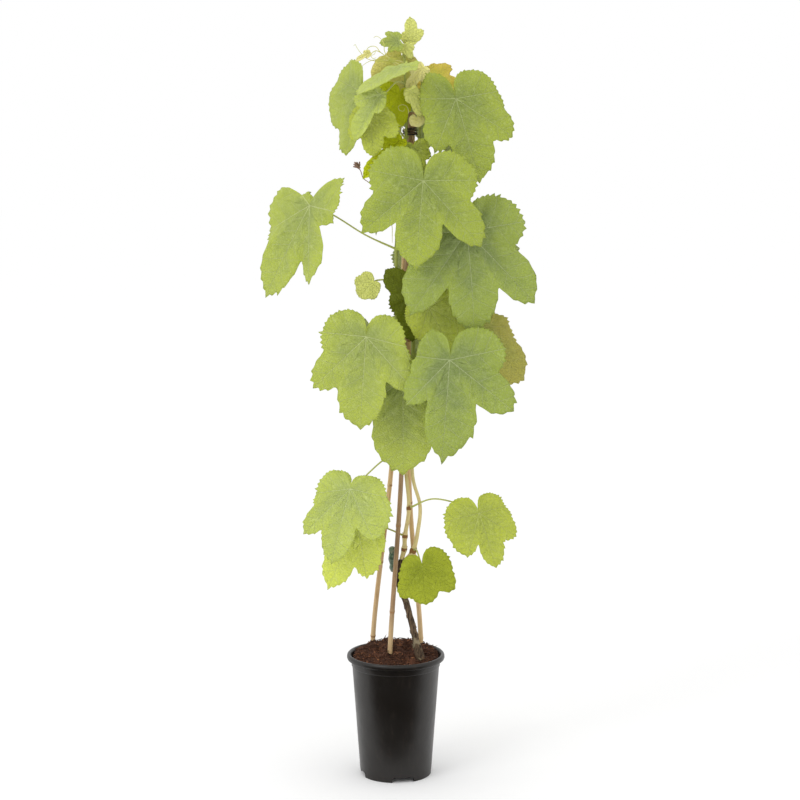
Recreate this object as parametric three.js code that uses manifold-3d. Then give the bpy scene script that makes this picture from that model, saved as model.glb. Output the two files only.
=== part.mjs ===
// A young grapevine in a nursery pot, trained up three bamboo canes.
// Millimetres, +Z up, the front of the plant towards -Y.
// The origin is the middle of the pot's underside, at the level of the ground it stands on.
import * as THREE from 'three';
import { mergeVertices } from 'three/addons/utils/BufferGeometryUtils.js';
import Module from 'manifold-3d';

const wasm = await Module();
wasm.setup();

// ---- Driving dimensions -------------------------------------------------------------------

const GAP = 0.3; // clearance between pieces that touch

const POT = {
  height: 190,
  rimRadius: 75,
  rimDepth: 9,
  neckRadius: 68,
  stepDrop: 20,
  stepRadius: 66.8,
  footRadius: 54.5,
  wall: 1.8,
  footWall: 3.5,
  baseHeight: 9,
  baseThickness: 2,
  sides: 28,
};

const FEET = { count: 4, slotWidth: 33, slotDepth: 12, slotHeight: 8, inset: 2, firstSlot: 12.7 };
const DRAINS = { count: 4, radius: 4.5, ring: 34, drillLength: 20, sides: 8 };

// The compost is a rough mound that stands a little proud of the rim at the back.
const COMPOST = { gap: 0.6, level: 186, mound: 9, backRise: 7, roughness: 1.8, socketDepth: 60, lean: 0.9 };

// Canes: straight bamboo pushed into the compost, drawn together where they are tied.
const CANE = { radius: 3.5, sides: 8, steps: 9 };
const BUNDLE = { low: [17, 6, 800], high: [22, 5, 1014], spread: 5.2 };
const CANES = [
  { name: 'cane_left', foot: [-36, 48, 190], waist: [-6, 30, 481], turn: 150 },
  { name: 'cane_middle', foot: [-9, -14, 190], waist: [8, -5, 460], turn: 270 },
  { name: 'cane_right', foot: [39, 41, 190], waist: [21, 25, 440], turn: 30 },
];

const TIES = [
  { name: 'tie_lower', height: 806 },
  { name: 'tie_upper', height: 985 },
];
const TIE = { inner: 9.4, outer: 10.8, depth: 5, sides: 14 };

// The woody trunk leans from its foot at the front right to the head of the plant.
const TRUNK = {
  path: [[38, -24, 185.5], [33.5, -21, 204], [28.5, -17, 224], [16, -8, 271], [6, -1, 296], [5, 3, 314],
    [11, 5, 334]],
  radii: [7.5, 5, 4.7, 4.5, 4.6, 5.6, 6.2],
  sides: 10,
  steps: 12,
};

// The pruned end of the rootstock stands beside the head under its cap of grafting wax.
const STUB = { path: [[-3, 5, 317], [-4.5, 5, 335], [-5.5, 5, 356]], radii: [4.6, 5.6, 5.2], sides: 8,
  steps: 4 };

// The two shoots climb from the head to the top, passing round the canes.
const SHOOTS = {
  left: {
    name: 'shoot_left',
    path: [
      [9, 5, 336], [13, 5, 352], [14, 5, 371], [20, 5, 414], [15.5, 5, 470], [11, 8, 530], [5, 8, 600],
      [1, 0, 690], [1, -10, 777], [1.5, -12, 830], [10, -14, 920], [16, -15, 1000], [14, -8, 1060],
      [13, -2, 1112],
    ],
    radii: [3.6, 2.8, 2.7, 2.6, 2.5, 2.4, 2.2, 1.8, 1.2],
    steps: 24,
  },
  right: {
    name: 'shoot_right',
    path: [
      [15, 4, 335], [26, 0, 349], [34, 0, 383], [37, 0, 420], [26, 0, 464], [26, -4, 560], [27, -10, 668],
      [32, -12, 760], [35, -12, 850], [35, -12, 930], [36, -10, 1000], [38, -8, 1046],
    ],
    radii: [3.4, 2.7, 2.6, 2.5, 2.3, 2.1, 1.8, 1.2],
    steps: 22,
  },
};
const SHOOT_SIDES = 6;

// ---- Leaves -------------------------------------------------------------------------------
// One row for each leaf. `at` is the point where blade and stalk join; `long` is the length of
// the main vein from there to the tip. `face` is the heading of the upper side (0 is the front,
// 90 the right), `nod` how far that side tips up, and `spin` how far the tip swings from
// straight down, to the right as seen from in front of the leaf.
// The outline is five lobes and two ears round the join. `sides` and `base` give the heading
// from the main vein and the reach of the left and right lobes; `sinus`, `waist` and `ears` give
// the reach of the left and right notches and ears. A reach is a share of `long`.
// `dome` sinks the rim back, `fold` closes the halves along the main vein, `droop` bends the tip.
// `lift` raises the stalk's arch, and `bow` carries it forward, past the other shoot.

const ORDINARY = {
  spin: 0,
  face: 0,
  nod: 12,
  sides: [-45, 0.85, 45, 0.85],
  sinus: [0.6, 0.6],
  waist: [0.55, 0.55],
  base: [-98, 0.6, 98, 0.6],
  ears: [0.42, 0.42],
  dome: 0.08,
  fold: 0,
  droop: 0,
  lift: 8,
  bow: 0,
};

const LEAVES = [
  // The lower leaves, each on a long stalk with open space round it.
  { name: 'leaf_low_front', shoot: 'right', from: 352, at: [40, -60, 340], long: 58, spin: 4, face: 5,
    nod: 18,
    sides: [-40, 0.99, 49, 1.03], sinus: [0.85, 0.76], waist: [0.72, 0.8], base: [-84, 0.58, 100, 0.74],
    ears: [0.4, 0.56] },
  { name: 'leaf_low_right', shoot: 'left', from: 415, at: [126, -25, 414], long: 88, spin: 16, face: 15,
    sides: [-34, 0.78, 40, 0.78], sinus: [0.52, 0.64], waist: [0.7, 0.6], base: [-95, 0.64, 85, 0.5],
    ears: [0.42, 0.36], lift: 20, bow: 16 },
  { name: 'leaf_low_left_back', shoot: 'left', from: 372, at: [-58, -15, 397], long: 110, spin: -23,
    face: -12,
    nod: 10, sides: [-42, 0.55, 34, 0.77], sinus: [0.5, 0.6], waist: [0.5, 0.55], base: [-98, 0.5, 90, 0.42],
    ears: [0.3, 0.3], lift: 4 },
  { name: 'leaf_low_left', shoot: 'left', from: 500, at: [-68, -50, 456], long: 115, spin: -13, face: -10,
    nod: 15, sides: [-32, 0.86, 40, 0.75], sinus: [0.63, 0.5], waist: [0.52, 0.66],
    base: [-68, 0.46, 92, 0.5],
    ears: [0.28, 0.26], lift: 10 },
  // The broad leaves round the middle.
  { name: 'leaf_middle_low', shoot: 'right', from: 640, at: [11, -40, 616], long: 138, nod: 6,
    sides: [-60, 0.5, 60, 0.5], sinus: [0.52, 0.52], waist: [0.42, 0.42], base: [-98, 0.45, 98, 0.45],
    ears: [0.3, 0.3] },
  { name: 'leaf_middle_left', shoot: 'left', from: 700, at: [-43, -75, 688], long: 136, spin: -3, face: -8,
    sides: [-42, 0.79, 46, 0.8], sinus: [0.62, 0.52], waist: [0.5, 0.56], base: [-92, 0.5, 80, 0.44],
    ears: [0.34, 0.33] },
  { name: 'leaf_middle_right', shoot: 'right', from: 642, at: [79, -95, 656], long: 146, spin: -5, face: 5,
    sides: [-40, 0.62, 56, 0.83], sinus: [0.45, 0.5], waist: [0.42, 0.52], base: [-92, 0.34, 106, 0.58],
    ears: [0.36, 0.38] },
  { name: 'leaf_behind_left', shoot: 'left', from: 740, at: [30, -26, 741], long: 67, spin: -5, face: -8,
    nod: 0,
    sides: [-62, 0.62, 45, 0.45], sinus: [0.6, 0.5], waist: [0.58, 0.3], base: [-126, 0.93, 98, 0.18],
    ears: [0.4, 0.14] },
  { name: 'leaf_behind_right', shoot: 'right', from: 776, at: [49, -50, 729], long: 84, spin: 27, face: 15,
    nod: 4, sides: [-45, 0.6, 34, 0.96], sinus: [0.62, 0.8], waist: [0.5, 0.7], base: [-98, 0.45, 90, 0.5],
    ears: [0.3, 0.3] },
  { name: 'leaf_far_right', shoot: 'right', from: 690, at: [118, 4, 692], long: 118, spin: 45, face: 22,
    nod: 5,
    sides: [-45, 0.7, 45, 0.52], waist: [0.5, 0.36], base: [-98, 0.36, 98, 0.25], ears: [0.2, 0.2] },
  { name: 'leaf_small_yellow', shoot: 'left', from: 756, at: [-35, -20, 762], long: 31, spin: -45, face: -15,
    nod: 0, sides: [-50, 0.9, 50, 0.8], sinus: [0.85, 0.8], waist: [0.7, 0.6], base: [-100, 0.66, 98, 0.5],
    ears: [0.3, 0.3] },
  // The three large leaves above them.
  { name: 'leaf_high_right', shoot: 'right', from: 850, at: [104, -66, 842], long: 148, spin: 5, face: 8,
    nod: 10,
    sides: [-40, 0.99, 39, 0.99], sinus: [0.57, 0.63], waist: [0.66, 0.5], base: [-92, 0.55, 94, 0.6],
    ears: [0.4, 0.4], droop: 0.12 },
  { name: 'leaf_high_left', shoot: 'left', from: 812, at: [-127, -22, 877], long: 160, spin: -29, face: -45,
    sides: [-36, 0.6, 38, 0.74], sinus: [0.6, 0.5], waist: [0.54, 0.26], base: [-98, 0.16, 112, 0.35],
    ears: [0.12, 0.46], dome: 0.06, lift: -2 },
  { name: 'leaf_high_centre', shoot: 'right', from: 905, at: [40, -95, 917], long: 127, spin: -5, nod: 15,
    sides: [-45, 0.9, 47, 1], sinus: [0.56, 0.53], waist: [0.58, 0.58], base: [-97, 0.63, 96, 0.62],
    ears: [0.45, 0.43] },
  { name: 'leaf_curled', shoot: 'left', from: 940, at: [6, -34, 972], long: 78, spin: -42, face: -20, nod: 20,
    sides: [-30, 0.35, 30, 0.35], sinus: [0.35, 0.35], waist: [0.25, 0.25], base: [-95, 0.2, 95, 0.2],
    ears: [0.12, 0.12], fold: 0.5 },
  { name: 'leaf_behind_centre', shoot: 'right', from: 950, at: [27, -34, 962], long: 40, spin: 12, nod: 5,
    sides: [-50, 0.9, 50, 0.7], ears: [0.3, 0.3] },
  // The crown of half-grown leaves.
  { name: 'leaf_crown_right', shoot: 'right', from: 1015, at: [88, -42, 1034], long: 126, spin: 15, face: 8,
    nod: 15, sides: [-38, 0.68, 41, 0.8], sinus: [0.54, 0.64], waist: [0.44, 0.6],
    base: [-104, 0.42, 85, 0.51],
    ears: [0.44, 0.38] },
  { name: 'leaf_crown_left', shoot: 'left', from: 1010, at: [-52, 12, 1044], long: 98, spin: -12, face: -50,
    nod: 10, sides: [-45, 0.85, 35, 0.45], sinus: [0.75, 0.42], waist: [0.75, 0.34],
    base: [-95, 0.7, 90, 0.28],
    ears: [0.5, 0.22] },
  { name: 'leaf_crown_front', shoot: 'left', from: 976, at: [-36, -46, 1012], long: 64, spin: 6, face: -10,
    nod: 18, sides: [-40, 0.74, 42, 0.82], waist: [0.55, 0.6], base: [-98, 0.45, 98, 0.42],
    ears: [0.3, 0.3] },
  { name: 'leaf_crown_folded', shoot: 'left', from: 1056, at: [-22, -72, 1040], long: 78, spin: -31,
    face: -20,
    nod: 10, sides: [-40, 0.5, 30, 0.36], sinus: [0.45, 0.36], waist: [0.35, 0.22],
    base: [-95, 0.25, 95, 0.15],
    ears: [0.12, 0.12], fold: 0.25 },
  { name: 'leaf_crown_level', shoot: 'left', from: 1074, at: [9, -56, 1080], long: 84, face: -60, nod: 68,
    sides: [-40, 0.66, 40, 0.66], base: [-98, 0.42, 98, 0.42], ears: [0.22, 0.22], dome: 0.12 },
  { name: 'leaf_crown_dark', shoot: 'left', from: 1020, at: [6, -21, 1040], long: 51, spin: -6, nod: 4,
    sides: [-48, 0.9, 50, 0.5], sinus: [0.82, 0.6], waist: [0.75, 0.4], base: [-110, 0.6, 112, 0.36],
    ears: [0.3, 0.2] },
  { name: 'leaf_crown_strip', shoot: 'right', from: 1024, at: [22, -40, 1046], long: 42, spin: 22, nod: 4,
    sides: [-35, 0.45, 35, 0.45], sinus: [0.45, 0.45], waist: [0.3, 0.3], base: [-95, 0.25, 95, 0.25],
    ears: [0.15, 0.15] },
  { name: 'leaf_crown_young', shoot: 'left', from: 1082, at: [9, 8, 1093], long: 50, nod: -4,
    sides: [-56, 1.08, 50, 0.66], sinus: [0.95, 0.75], waist: [0.85, 0.5], base: [-100, 0.5, 100, 0.34],
    ears: [0.3, 0.2], dome: 0.02 },
  { name: 'leaf_crown_cream', shoot: 'right', from: 1035, at: [40, -26, 1078], long: 40, spin: -38, nod: 6,
    sides: [-35, 0.5, 35, 0.5], sinus: [0.5, 0.5], waist: [0.35, 0.35], base: [-95, 0.3, 95, 0.3],
    ears: [0.15, 0.15], fold: 0.2 },
  { name: 'leaf_crown_bronze', shoot: 'right', from: 1028, at: [48, 18, 1062], long: 54, spin: 75, face: 10,
    nod: 20,
    sides: [-40, 0.75, 45, 0.8], base: [-98, 0.45, 98, 0.4], ears: [0.3, 0.3] },
  { name: 'leaf_tip_left', shoot: 'left', from: 1094, at: [4, -18, 1118], long: 28, spin: -84, nod: 20,
    sides: [-40, 0.85, 42, 0.8], base: [-90, 0.5, 90, 0.6], ears: [0.2, 0.2] },
  { name: 'leaf_tip', shoot: 'left', from: 1100, at: [20, -2, 1118], long: 35, spin: 178, nod: -10,
    sides: [-52, 0.75, 42, 0.45], sinus: [0.6, 0.45], waist: [0.55, 0.38], base: [-95, 0.35, 95, 0.3],
    ears: [0.15, 0.15] },
  // Leaves on the sides and the back, so that the crown is full all round.
  { name: 'leaf_back_crown', shoot: 'right', from: 1000, at: [86, 58, 1028], long: 100, spin: -10,
    face: 172 },
  { name: 'leaf_back_crown_left', shoot: 'left', from: 1000, at: [-4, 68, 1036], long: 78, spin: 8,
    face: 190 },
  { name: 'leaf_back_high', shoot: 'right', from: 900, at: [48, 90, 912], long: 112, spin: 6, face: 180,
    nod: 18 },
  { name: 'leaf_back_high_right', shoot: 'right', from: 820, at: [118, 56, 836], long: 112, face: 156,
    spin: -6 },
  { name: 'leaf_back_centre', shoot: 'right', from: 790, at: [46, 92, 796], long: 88, spin: -14, face: 184 },
  { name: 'leaf_back_left', shoot: 'left', from: 660, at: [-40, 74, 668], long: 104, spin: 4, face: 190 },
  { name: 'leaf_back_right', shoot: 'right', from: 650, at: [84, 76, 650], long: 118, spin: -4, face: 172 },
  { name: 'leaf_back_low', shoot: 'left', from: 560, at: [10, 74, 604], long: 100, face: 182, nod: 8 },
  { name: 'leaf_side_right', shoot: 'right', from: 960, at: [92, 8, 980], long: 88, spin: 4, face: 96,
    nod: 16 },
  { name: 'leaf_side_right_low', shoot: 'right', from: 600, at: [84, -8, 622], long: 96, face: 84, nod: 16 },
  { name: 'leaf_side_left', shoot: 'left', from: 630, at: [-50, 0, 650], long: 88, face: 268, nod: 14 },
  { name: 'leaf_side_left_high', shoot: 'left', from: 900, at: [-16, 20, 912], long: 82, face: 272, nod: 14 },
];

const BLADE = { thickness: 2.4, smallLength: 50, lobeCurve: 1.8 };
// A stalk bends early, after a share of its way, and comes to the blade from behind.
const STALK = { radii: [1.6, 1.3], sides: 4, steps: 5, earlyShare: 0.35, lateShare: 0.2, behind: 0.2,
  lateLift: 0.3 };
const HEART = 0.06; // reach of the narrow notch where the stalk joins
const NOTCH_SHARE = 0.62; // where a notch sits between the main vein and a side lobe
const EAR_LIMIT = 200; // an ear's heading is midway between its base lobe and this heading

// ---- Finishes -----------------------------------------------------------------------------

const finish = {
  pot: new THREE.MeshStandardMaterial({ color: 0x2a2622, roughness: 0.45, metalness: 0 }),
  compost: new THREE.MeshStandardMaterial({ color: 0x5a3524, roughness: 1, metalness: 0 }),
  bamboo: new THREE.MeshStandardMaterial({ color: 0xc9a06a, roughness: 0.5, metalness: 0 }),
  bark: new THREE.MeshStandardMaterial({ color: 0x7a5f48, roughness: 0.95, metalness: 0 }),
  wax: new THREE.MeshStandardMaterial({ color: 0x27473a, roughness: 0.5, metalness: 0 }),
  shoot: new THREE.MeshStandardMaterial({ color: 0xa9a850, roughness: 0.55, metalness: 0 }),
  tie: new THREE.MeshStandardMaterial({ color: 0x1d1b18, roughness: 0.5, metalness: 0 }),
  leaf: new THREE.MeshStandardMaterial({ color: 0x9cb557, roughness: 0.6, metalness: 0 }),
};

// ---- Solids -------------------------------------------------------------------------------

// A closed geometry as a solid that can be cut and joined.
function solid(geometry) {
  geometry.deleteAttribute('normal');
  geometry.deleteAttribute('uv');
  const welded = mergeVertices(geometry, 1e-3);
  const corners = welded.index.array;
  const kept = [];
  for (let i = 0; i < corners.length; i += 3) {
    const [a, b, c] = corners.slice(i, i + 3);
    if (a !== b && b !== c && c !== a) kept.push(a, b, c);
  }
  const vertProperties = new Float32Array(welded.attributes.position.array);
  const triVerts = new Uint32Array(kept);
  return new wasm.Manifold(new wasm.Mesh({ numProp: 3, vertProperties, triVerts }));
}

function meshOf(name, shape, material) {
  const { vertProperties, triVerts } = shape.getMesh();
  const geometry = new THREE.BufferGeometry();
  geometry.setAttribute('position', new THREE.BufferAttribute(vertProperties, 3));
  geometry.setIndex(new THREE.BufferAttribute(triVerts, 1));
  geometry.computeVertexNormals();
  const mesh = new THREE.Mesh(geometry, material);
  mesh.name = name;
  return mesh;
}

function pathThrough(points) {
  return new THREE.CatmullRomCurve3(points.map((point) => new THREE.Vector3(...point)));
}

// The radius at a share of a limb's length, between evenly spaced values.
function radiusAt(radii, share) {
  const place = share * (radii.length - 1);
  const step = Math.min(Math.floor(place), radii.length - 2);
  return THREE.MathUtils.lerp(radii[step], radii[step + 1], place - step);
}

// A tapering limb: a round section run along a curve, then drawn in ring by ring.
function limb({ path, radii, sides, steps }, extra = 0) {
  const curve = pathThrough(path);
  const corners = [];
  for (let side = 0; side < sides; side += 1) {
    const turn = (side / sides) * Math.PI * 2;
    corners.push(new THREE.Vector2(Math.cos(turn), Math.sin(turn)));
  }
  const section = new THREE.Shape(corners);
  const geometry = new THREE.ExtrudeGeometry(section, { extrudePath: curve, steps, bevelEnabled: false });
  const centres = curve.getSpacedPoints(steps);
  const position = geometry.attributes.position;
  const vertex = new THREE.Vector3();
  for (let i = 0; i < position.count; i += 1) {
    vertex.fromBufferAttribute(position, i);
    const distances = centres.map((centre) => centre.distanceTo(vertex));
    const ring = distances.indexOf(Math.min(...distances));
    const radius = radiusAt(radii, ring / steps) + extra;
    vertex.sub(centres[ring]).multiplyScalar(radius).add(centres[ring]);
    position.setXYZ(i, vertex.x, vertex.y, vertex.z);
  }
  return solid(geometry);
}

// The room that a limb needs in the piece it stands in: a little wider, and a little longer at its foot.
function roomFor(line) {
  const [[x, y, z], ...rest] = line.path;
  return limb({ ...line, path: [[x, y, z - GAP], ...rest] }, GAP);
}

// The one main body of a shape, without the slivers that a cut can leave.
function mainBody(shape) {
  return shape.decompose().sort((one, other) => other.volume() - one.volume())[0];
}

function turned(profile, sides) {
  const points = profile.map(([radius, height]) => new THREE.Vector2(radius, height));
  const geometry = new THREE.LatheGeometry(points, sides);
  geometry.rotateX(Math.PI / 2);
  return geometry;
}

// ---- Pot and compost ----------------------------------------------------------------------

function pot() {
  const top = POT.height;
  const lipUnder = top - POT.rimDepth;
  const step = top - POT.stepDrop;
  const floorTop = POT.baseHeight + POT.baseThickness;
  let shape = solid(turned([
    [0, POT.baseHeight],
    [POT.footRadius - POT.footWall, POT.baseHeight],
    [POT.footRadius - POT.footWall, 0],
    [POT.footRadius, 0],
    [POT.stepRadius, step],
    [POT.neckRadius, step + 2],
    [POT.neckRadius, lipUnder],
    [POT.rimRadius - 1, lipUnder],
    [POT.rimRadius, lipUnder + 2],
    [POT.rimRadius, top - 2],
    [POT.rimRadius - 1.5, top],
    [POT.neckRadius + 0.5, top],
    [POT.neckRadius - POT.wall, lipUnder],
    [POT.footRadius - POT.wall, floorTop],
    [0, floorTop],
  ], POT.sides));
  for (let slot = 0; slot < FEET.count; slot += 1) {
    const heading = THREE.MathUtils.degToRad(FEET.firstSlot + (slot * 360) / FEET.count);
    const block = new THREE.BoxGeometry(FEET.slotWidth, FEET.slotDepth, FEET.slotHeight * 2);
    block.translate(0, -POT.footRadius + FEET.inset, 0);
    block.rotateZ(heading);
    shape = shape.subtract(solid(block));
  }
  for (let hole = 0; hole < DRAINS.count; hole += 1) {
    const heading = (hole * Math.PI * 2) / DRAINS.count;
    const drill = new THREE.CylinderGeometry(DRAINS.radius, DRAINS.radius, DRAINS.drillLength, DRAINS.sides);
    drill.rotateX(Math.PI / 2);
    drill.translate(DRAINS.ring * Math.cos(heading), DRAINS.ring * Math.sin(heading), POT.baseHeight);
    shape = shape.subtract(solid(drill));
  }
  return meshOf('pot', shape, finish.pot);
}

// The compost fills the pot; its top is a rough mound with a socket for every cane and the trunk.
function compost(stakes) {
  const floor = POT.baseHeight + POT.baseThickness + COMPOST.gap;
  const foot = POT.footRadius - POT.wall - COMPOST.gap;
  const shoulder = POT.neckRadius - POT.wall - COMPOST.gap;
  const geometry = turned([
    [0, floor],
    [foot, floor],
    [shoulder, POT.height - POT.rimDepth],
    [shoulder, COMPOST.level - 1],
    [shoulder * 0.86, COMPOST.level],
    [shoulder * 0.58, COMPOST.level],
    [shoulder * 0.28, COMPOST.level],
    [0, COMPOST.level],
  ], POT.sides);
  const position = geometry.attributes.position;
  for (let i = 0; i < position.count; i += 1) {
    const [x, y, z] = [position.getX(i), position.getY(i), position.getZ(i)];
    if (z > COMPOST.level - 2) {
      const inward = 1 - (x * x + y * y) / (shoulder * shoulder);
      const rough = COMPOST.roughness * (Math.sin(x * 0.31) + Math.cos(y * 0.27 + x * 0.13));
      position.setZ(i, z + inward * (COMPOST.mound + rough) + (COMPOST.backRise * y) / shoulder);
    }
  }
  let shape = solid(geometry);
  for (const stake of stakes) shape = shape.subtract(stake);
  return meshOf('compost', shape, finish.compost);
}

// ---- Canes and ties -----------------------------------------------------------------------

// A cane's buried end leans in with the pot's wall, so that the compost holds it.
function caneLine({ foot, waist, turn }) {
  const buried = [foot[0] * COMPOST.lean, foot[1] * COMPOST.lean, foot[2] - COMPOST.socketDepth];
  const heading = THREE.MathUtils.degToRad(turn);
  const offset = [BUNDLE.spread * Math.cos(heading), BUNDLE.spread * Math.sin(heading), 0];
  const tied = [BUNDLE.low, BUNDLE.high].map((centre) => centre.map((value, axis) => value + offset[axis]));
  return { path: [buried, foot, waist, ...tied], radii: [CANE.radius, CANE.radius], sides: CANE.sides,
    steps: CANE.steps };
}

function tie({ name, height }) {
  const share = (height - BUNDLE.low[2]) / (BUNDLE.high[2] - BUNDLE.low[2]);
  const centre = BUNDLE.low.map((value, axis) => THREE.MathUtils.lerp(value, BUNDLE.high[axis], share));
  const geometry = turned([
    [TIE.inner, -TIE.depth / 2],
    [TIE.outer, -TIE.depth / 2],
    [TIE.outer, TIE.depth / 2],
    [TIE.inner, TIE.depth / 2],
    [TIE.inner, -TIE.depth / 2],
  ], TIE.sides);
  geometry.translate(...centre);
  return meshOf(name, solid(geometry), finish.tie);
}

// ---- Leaves -------------------------------------------------------------------------------

// The headings and reaches that shape a blade, from the stalk's notch round to it again.
function outlineKeys(leaf) {
  const [leftSide, leftReach, rightSide, rightReach] = leaf.sides;
  const [leftBase, leftBaseReach, rightBase, rightBaseReach] = leaf.base;
  return [
    [-180, HEART],
    [(leftBase - EAR_LIMIT) / 2, leaf.ears[0]],
    [leftBase, leftBaseReach],
    [(leftBase + leftSide) / 2, leaf.waist[0]],
    [leftSide, leftReach],
    [leftSide * NOTCH_SHARE, leaf.sinus[0]],
    [0, 1],
    [rightSide * NOTCH_SHARE, leaf.sinus[1]],
    [rightSide, rightReach],
    [(rightBase + rightSide) / 2, leaf.waist[1]],
    [rightBase, rightBaseReach],
    [(rightBase + EAR_LIMIT) / 2, leaf.ears[1]],
    [180, HEART],
  ];
}

// Between a lobe and a notch the margin leaves the lobe slowly and drops into the notch.
function reachBetween(from, to, share) {
  const towardsNotch = from > to ? share : 1 - share;
  const low = Math.min(from, to);
  return low + Math.abs(from - to) * (1 - towardsNotch ** BLADE.lobeCurve);
}

// Evenly shared points round the outline: each key, and one between each pair on a large leaf.
function outline(leaf, perKey) {
  const keys = outlineKeys(leaf);
  const points = [];
  for (let key = 0; key < keys.length - 1; key += 1) {
    for (let part = 0; part < perKey; part += 1) {
      const share = part / perKey;
      const heading = THREE.MathUtils.lerp(keys[key][0], keys[key + 1][0], share);
      points.push([THREE.MathUtils.degToRad(heading), reachBetween(keys[key][1], keys[key + 1][1], share)]);
    }
  }
  return points;
}

// The blade's own directions: `out` from its upper side, `tip` along the main vein, `right`.
function bladeFrame(leaf) {
  const face = THREE.MathUtils.degToRad(leaf.face);
  const nod = THREE.MathUtils.degToRad(leaf.nod);
  const spin = THREE.MathUtils.degToRad(leaf.spin);
  const ahead = new THREE.Vector3(Math.sin(face), -Math.cos(face), 0);
  const up = new THREE.Vector3(0, 0, 1);
  const across = new THREE.Vector3(Math.cos(face), Math.sin(face), 0);
  const out = ahead.clone().multiplyScalar(Math.cos(nod)).addScaledVector(up, Math.sin(nod));
  const down = ahead.clone().multiplyScalar(Math.sin(nod)).addScaledVector(up, -Math.cos(nod));
  const tip = down.clone().multiplyScalar(Math.cos(spin)).addScaledVector(across, Math.sin(spin));
  const right = across.clone().multiplyScalar(Math.cos(spin)).addScaledVector(down, -Math.sin(spin));
  return { out, tip, right };
}

// How far the blade stands off its flat plane at a heading and a reach.
function bend(leaf, heading, reach) {
  const along = Math.max(0, reach * Math.cos(heading));
  const aside = reach * Math.abs(Math.sin(heading));
  return leaf.long * (leaf.fold * aside - leaf.dome * reach * reach - leaf.droop * along ** 3);
}

// A blade is a flattened ball: its equator is the margin, its poles the two sides of the join.
function blade(leaf) {
  const margin = outline(leaf, leaf.long < BLADE.smallLength ? 1 : 2);
  const geometry = new THREE.SphereGeometry(1, margin.length, 2);
  const { out, tip, right } = bladeFrame(leaf);
  const position = geometry.attributes.position;
  const columns = margin.length + 1;
  const point = new THREE.Vector3();
  for (let i = 0; i < position.count; i += 1) {
    const side = 1 - Math.floor(i / columns); // 1 the upper side, 0 the margin, -1 the underside
    const [heading, full] = margin[(i % columns) % margin.length];
    const reach = side === 0 ? full : 0;
    const stand = bend(leaf, heading, reach) + (side * BLADE.thickness) / 2;
    point.set(...leaf.at);
    point.addScaledVector(tip, leaf.long * reach * Math.cos(heading));
    point.addScaledVector(right, leaf.long * reach * Math.sin(heading));
    point.addScaledVector(out, stand);
    position.setXYZ(i, point.x, point.y, point.z);
  }
  return solid(geometry);
}

// The point on a shoot's middle line at a height.
function onShoot(shoot, height) {
  const curve = pathThrough(shoot.path);
  let [low, high] = [0, 1];
  for (let halving = 0; halving < 24; halving += 1) {
    const middle = (low + high) / 2;
    if (curve.getPointAt(middle).z < height) low = middle;
    else high = middle;
  }
  return curve.getPointAt(low);
}

// The stalk leaves the shoot, arches over and meets the blade from behind.
function stalk(leaf) {
  const start = onShoot(SHOOTS[leaf.shoot], leaf.from);
  const end = new THREE.Vector3(...leaf.at);
  const { out } = bladeFrame(leaf);
  const span = start.distanceTo(end);
  const early = start.clone().lerp(end, STALK.earlyShare);
  early.y -= leaf.bow;
  early.z += leaf.lift;
  const late = end.clone().addScaledVector(out, -STALK.behind * span).lerp(early, STALK.lateShare);
  late.z += leaf.lift * STALK.lateLift;
  const path = [start, early, late, end].map((point) => point.toArray());
  return limb({ path, radii: STALK.radii, sides: STALK.sides, steps: STALK.steps });
}

function leafMesh(row, shoots) {
  const leaf = { ...ORDINARY, ...row };
  const whole = blade(leaf).add(stalk(leaf)).subtract(shoots[leaf.shoot]);
  return meshOf(leaf.name, mainBody(whole), finish.leaf);
}

// ---- The plant ----------------------------------------------------------------------------

const plant = new THREE.Group();

const caneLines = CANES.map(caneLine);
plant.add(pot());
plant.add(compost([...caneLines, TRUNK].map(roomFor)));
CANES.forEach((cane, i) => plant.add(meshOf(cane.name, limb(caneLines[i]), finish.bamboo)));
TIES.forEach((row) => plant.add(tie(row)));

// The trunk ends in a flat cut at ground level.
const trunk = limb(TRUNK).trimByPlane([0, 0, 1], COMPOST.level);
const roomForTrunk = roomFor(TRUNK);
plant.add(meshOf('trunk', trunk, finish.bark));
plant.add(meshOf('graft_stub', mainBody(limb(STUB).subtract(roomForTrunk)), finish.wax));

const shootLines = {
  left: { ...SHOOTS.left, sides: SHOOT_SIDES },
  right: { ...SHOOTS.right, sides: SHOOT_SIDES },
};
const roomForShoots = { left: limb(shootLines.left, GAP), right: limb(shootLines.right, GAP) };
const leftShoot = limb(shootLines.left).subtract(roomForTrunk);
const rightShoot = limb(shootLines.right).subtract(roomForTrunk).subtract(roomForShoots.left);
plant.add(meshOf(SHOOTS.left.name, mainBody(leftShoot), finish.shoot));
plant.add(meshOf(SHOOTS.right.name, mainBody(rightShoot), finish.shoot));

LEAVES.forEach((row) => plant.add(leafMesh(row, roomForShoots)));

export default plant;
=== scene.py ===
# %% [markdown]
# # A young grapevine in a nursery pot
#
# A vine sold in its first year stands in a two-litre pot. Two shoots climb three bamboo canes that are
# tied together in two places, and broad lobed leaves hang from long stalks on every side.
#
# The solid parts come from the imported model, which is the frame here. This script makes the pieces that
# are seen in their place: it reads the frame first, so that each new piece can be laid on its solid.

# %% Load the frame
import math
import random

import bmesh
import bpy
from mathutils import Matrix, Vector, noise


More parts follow.
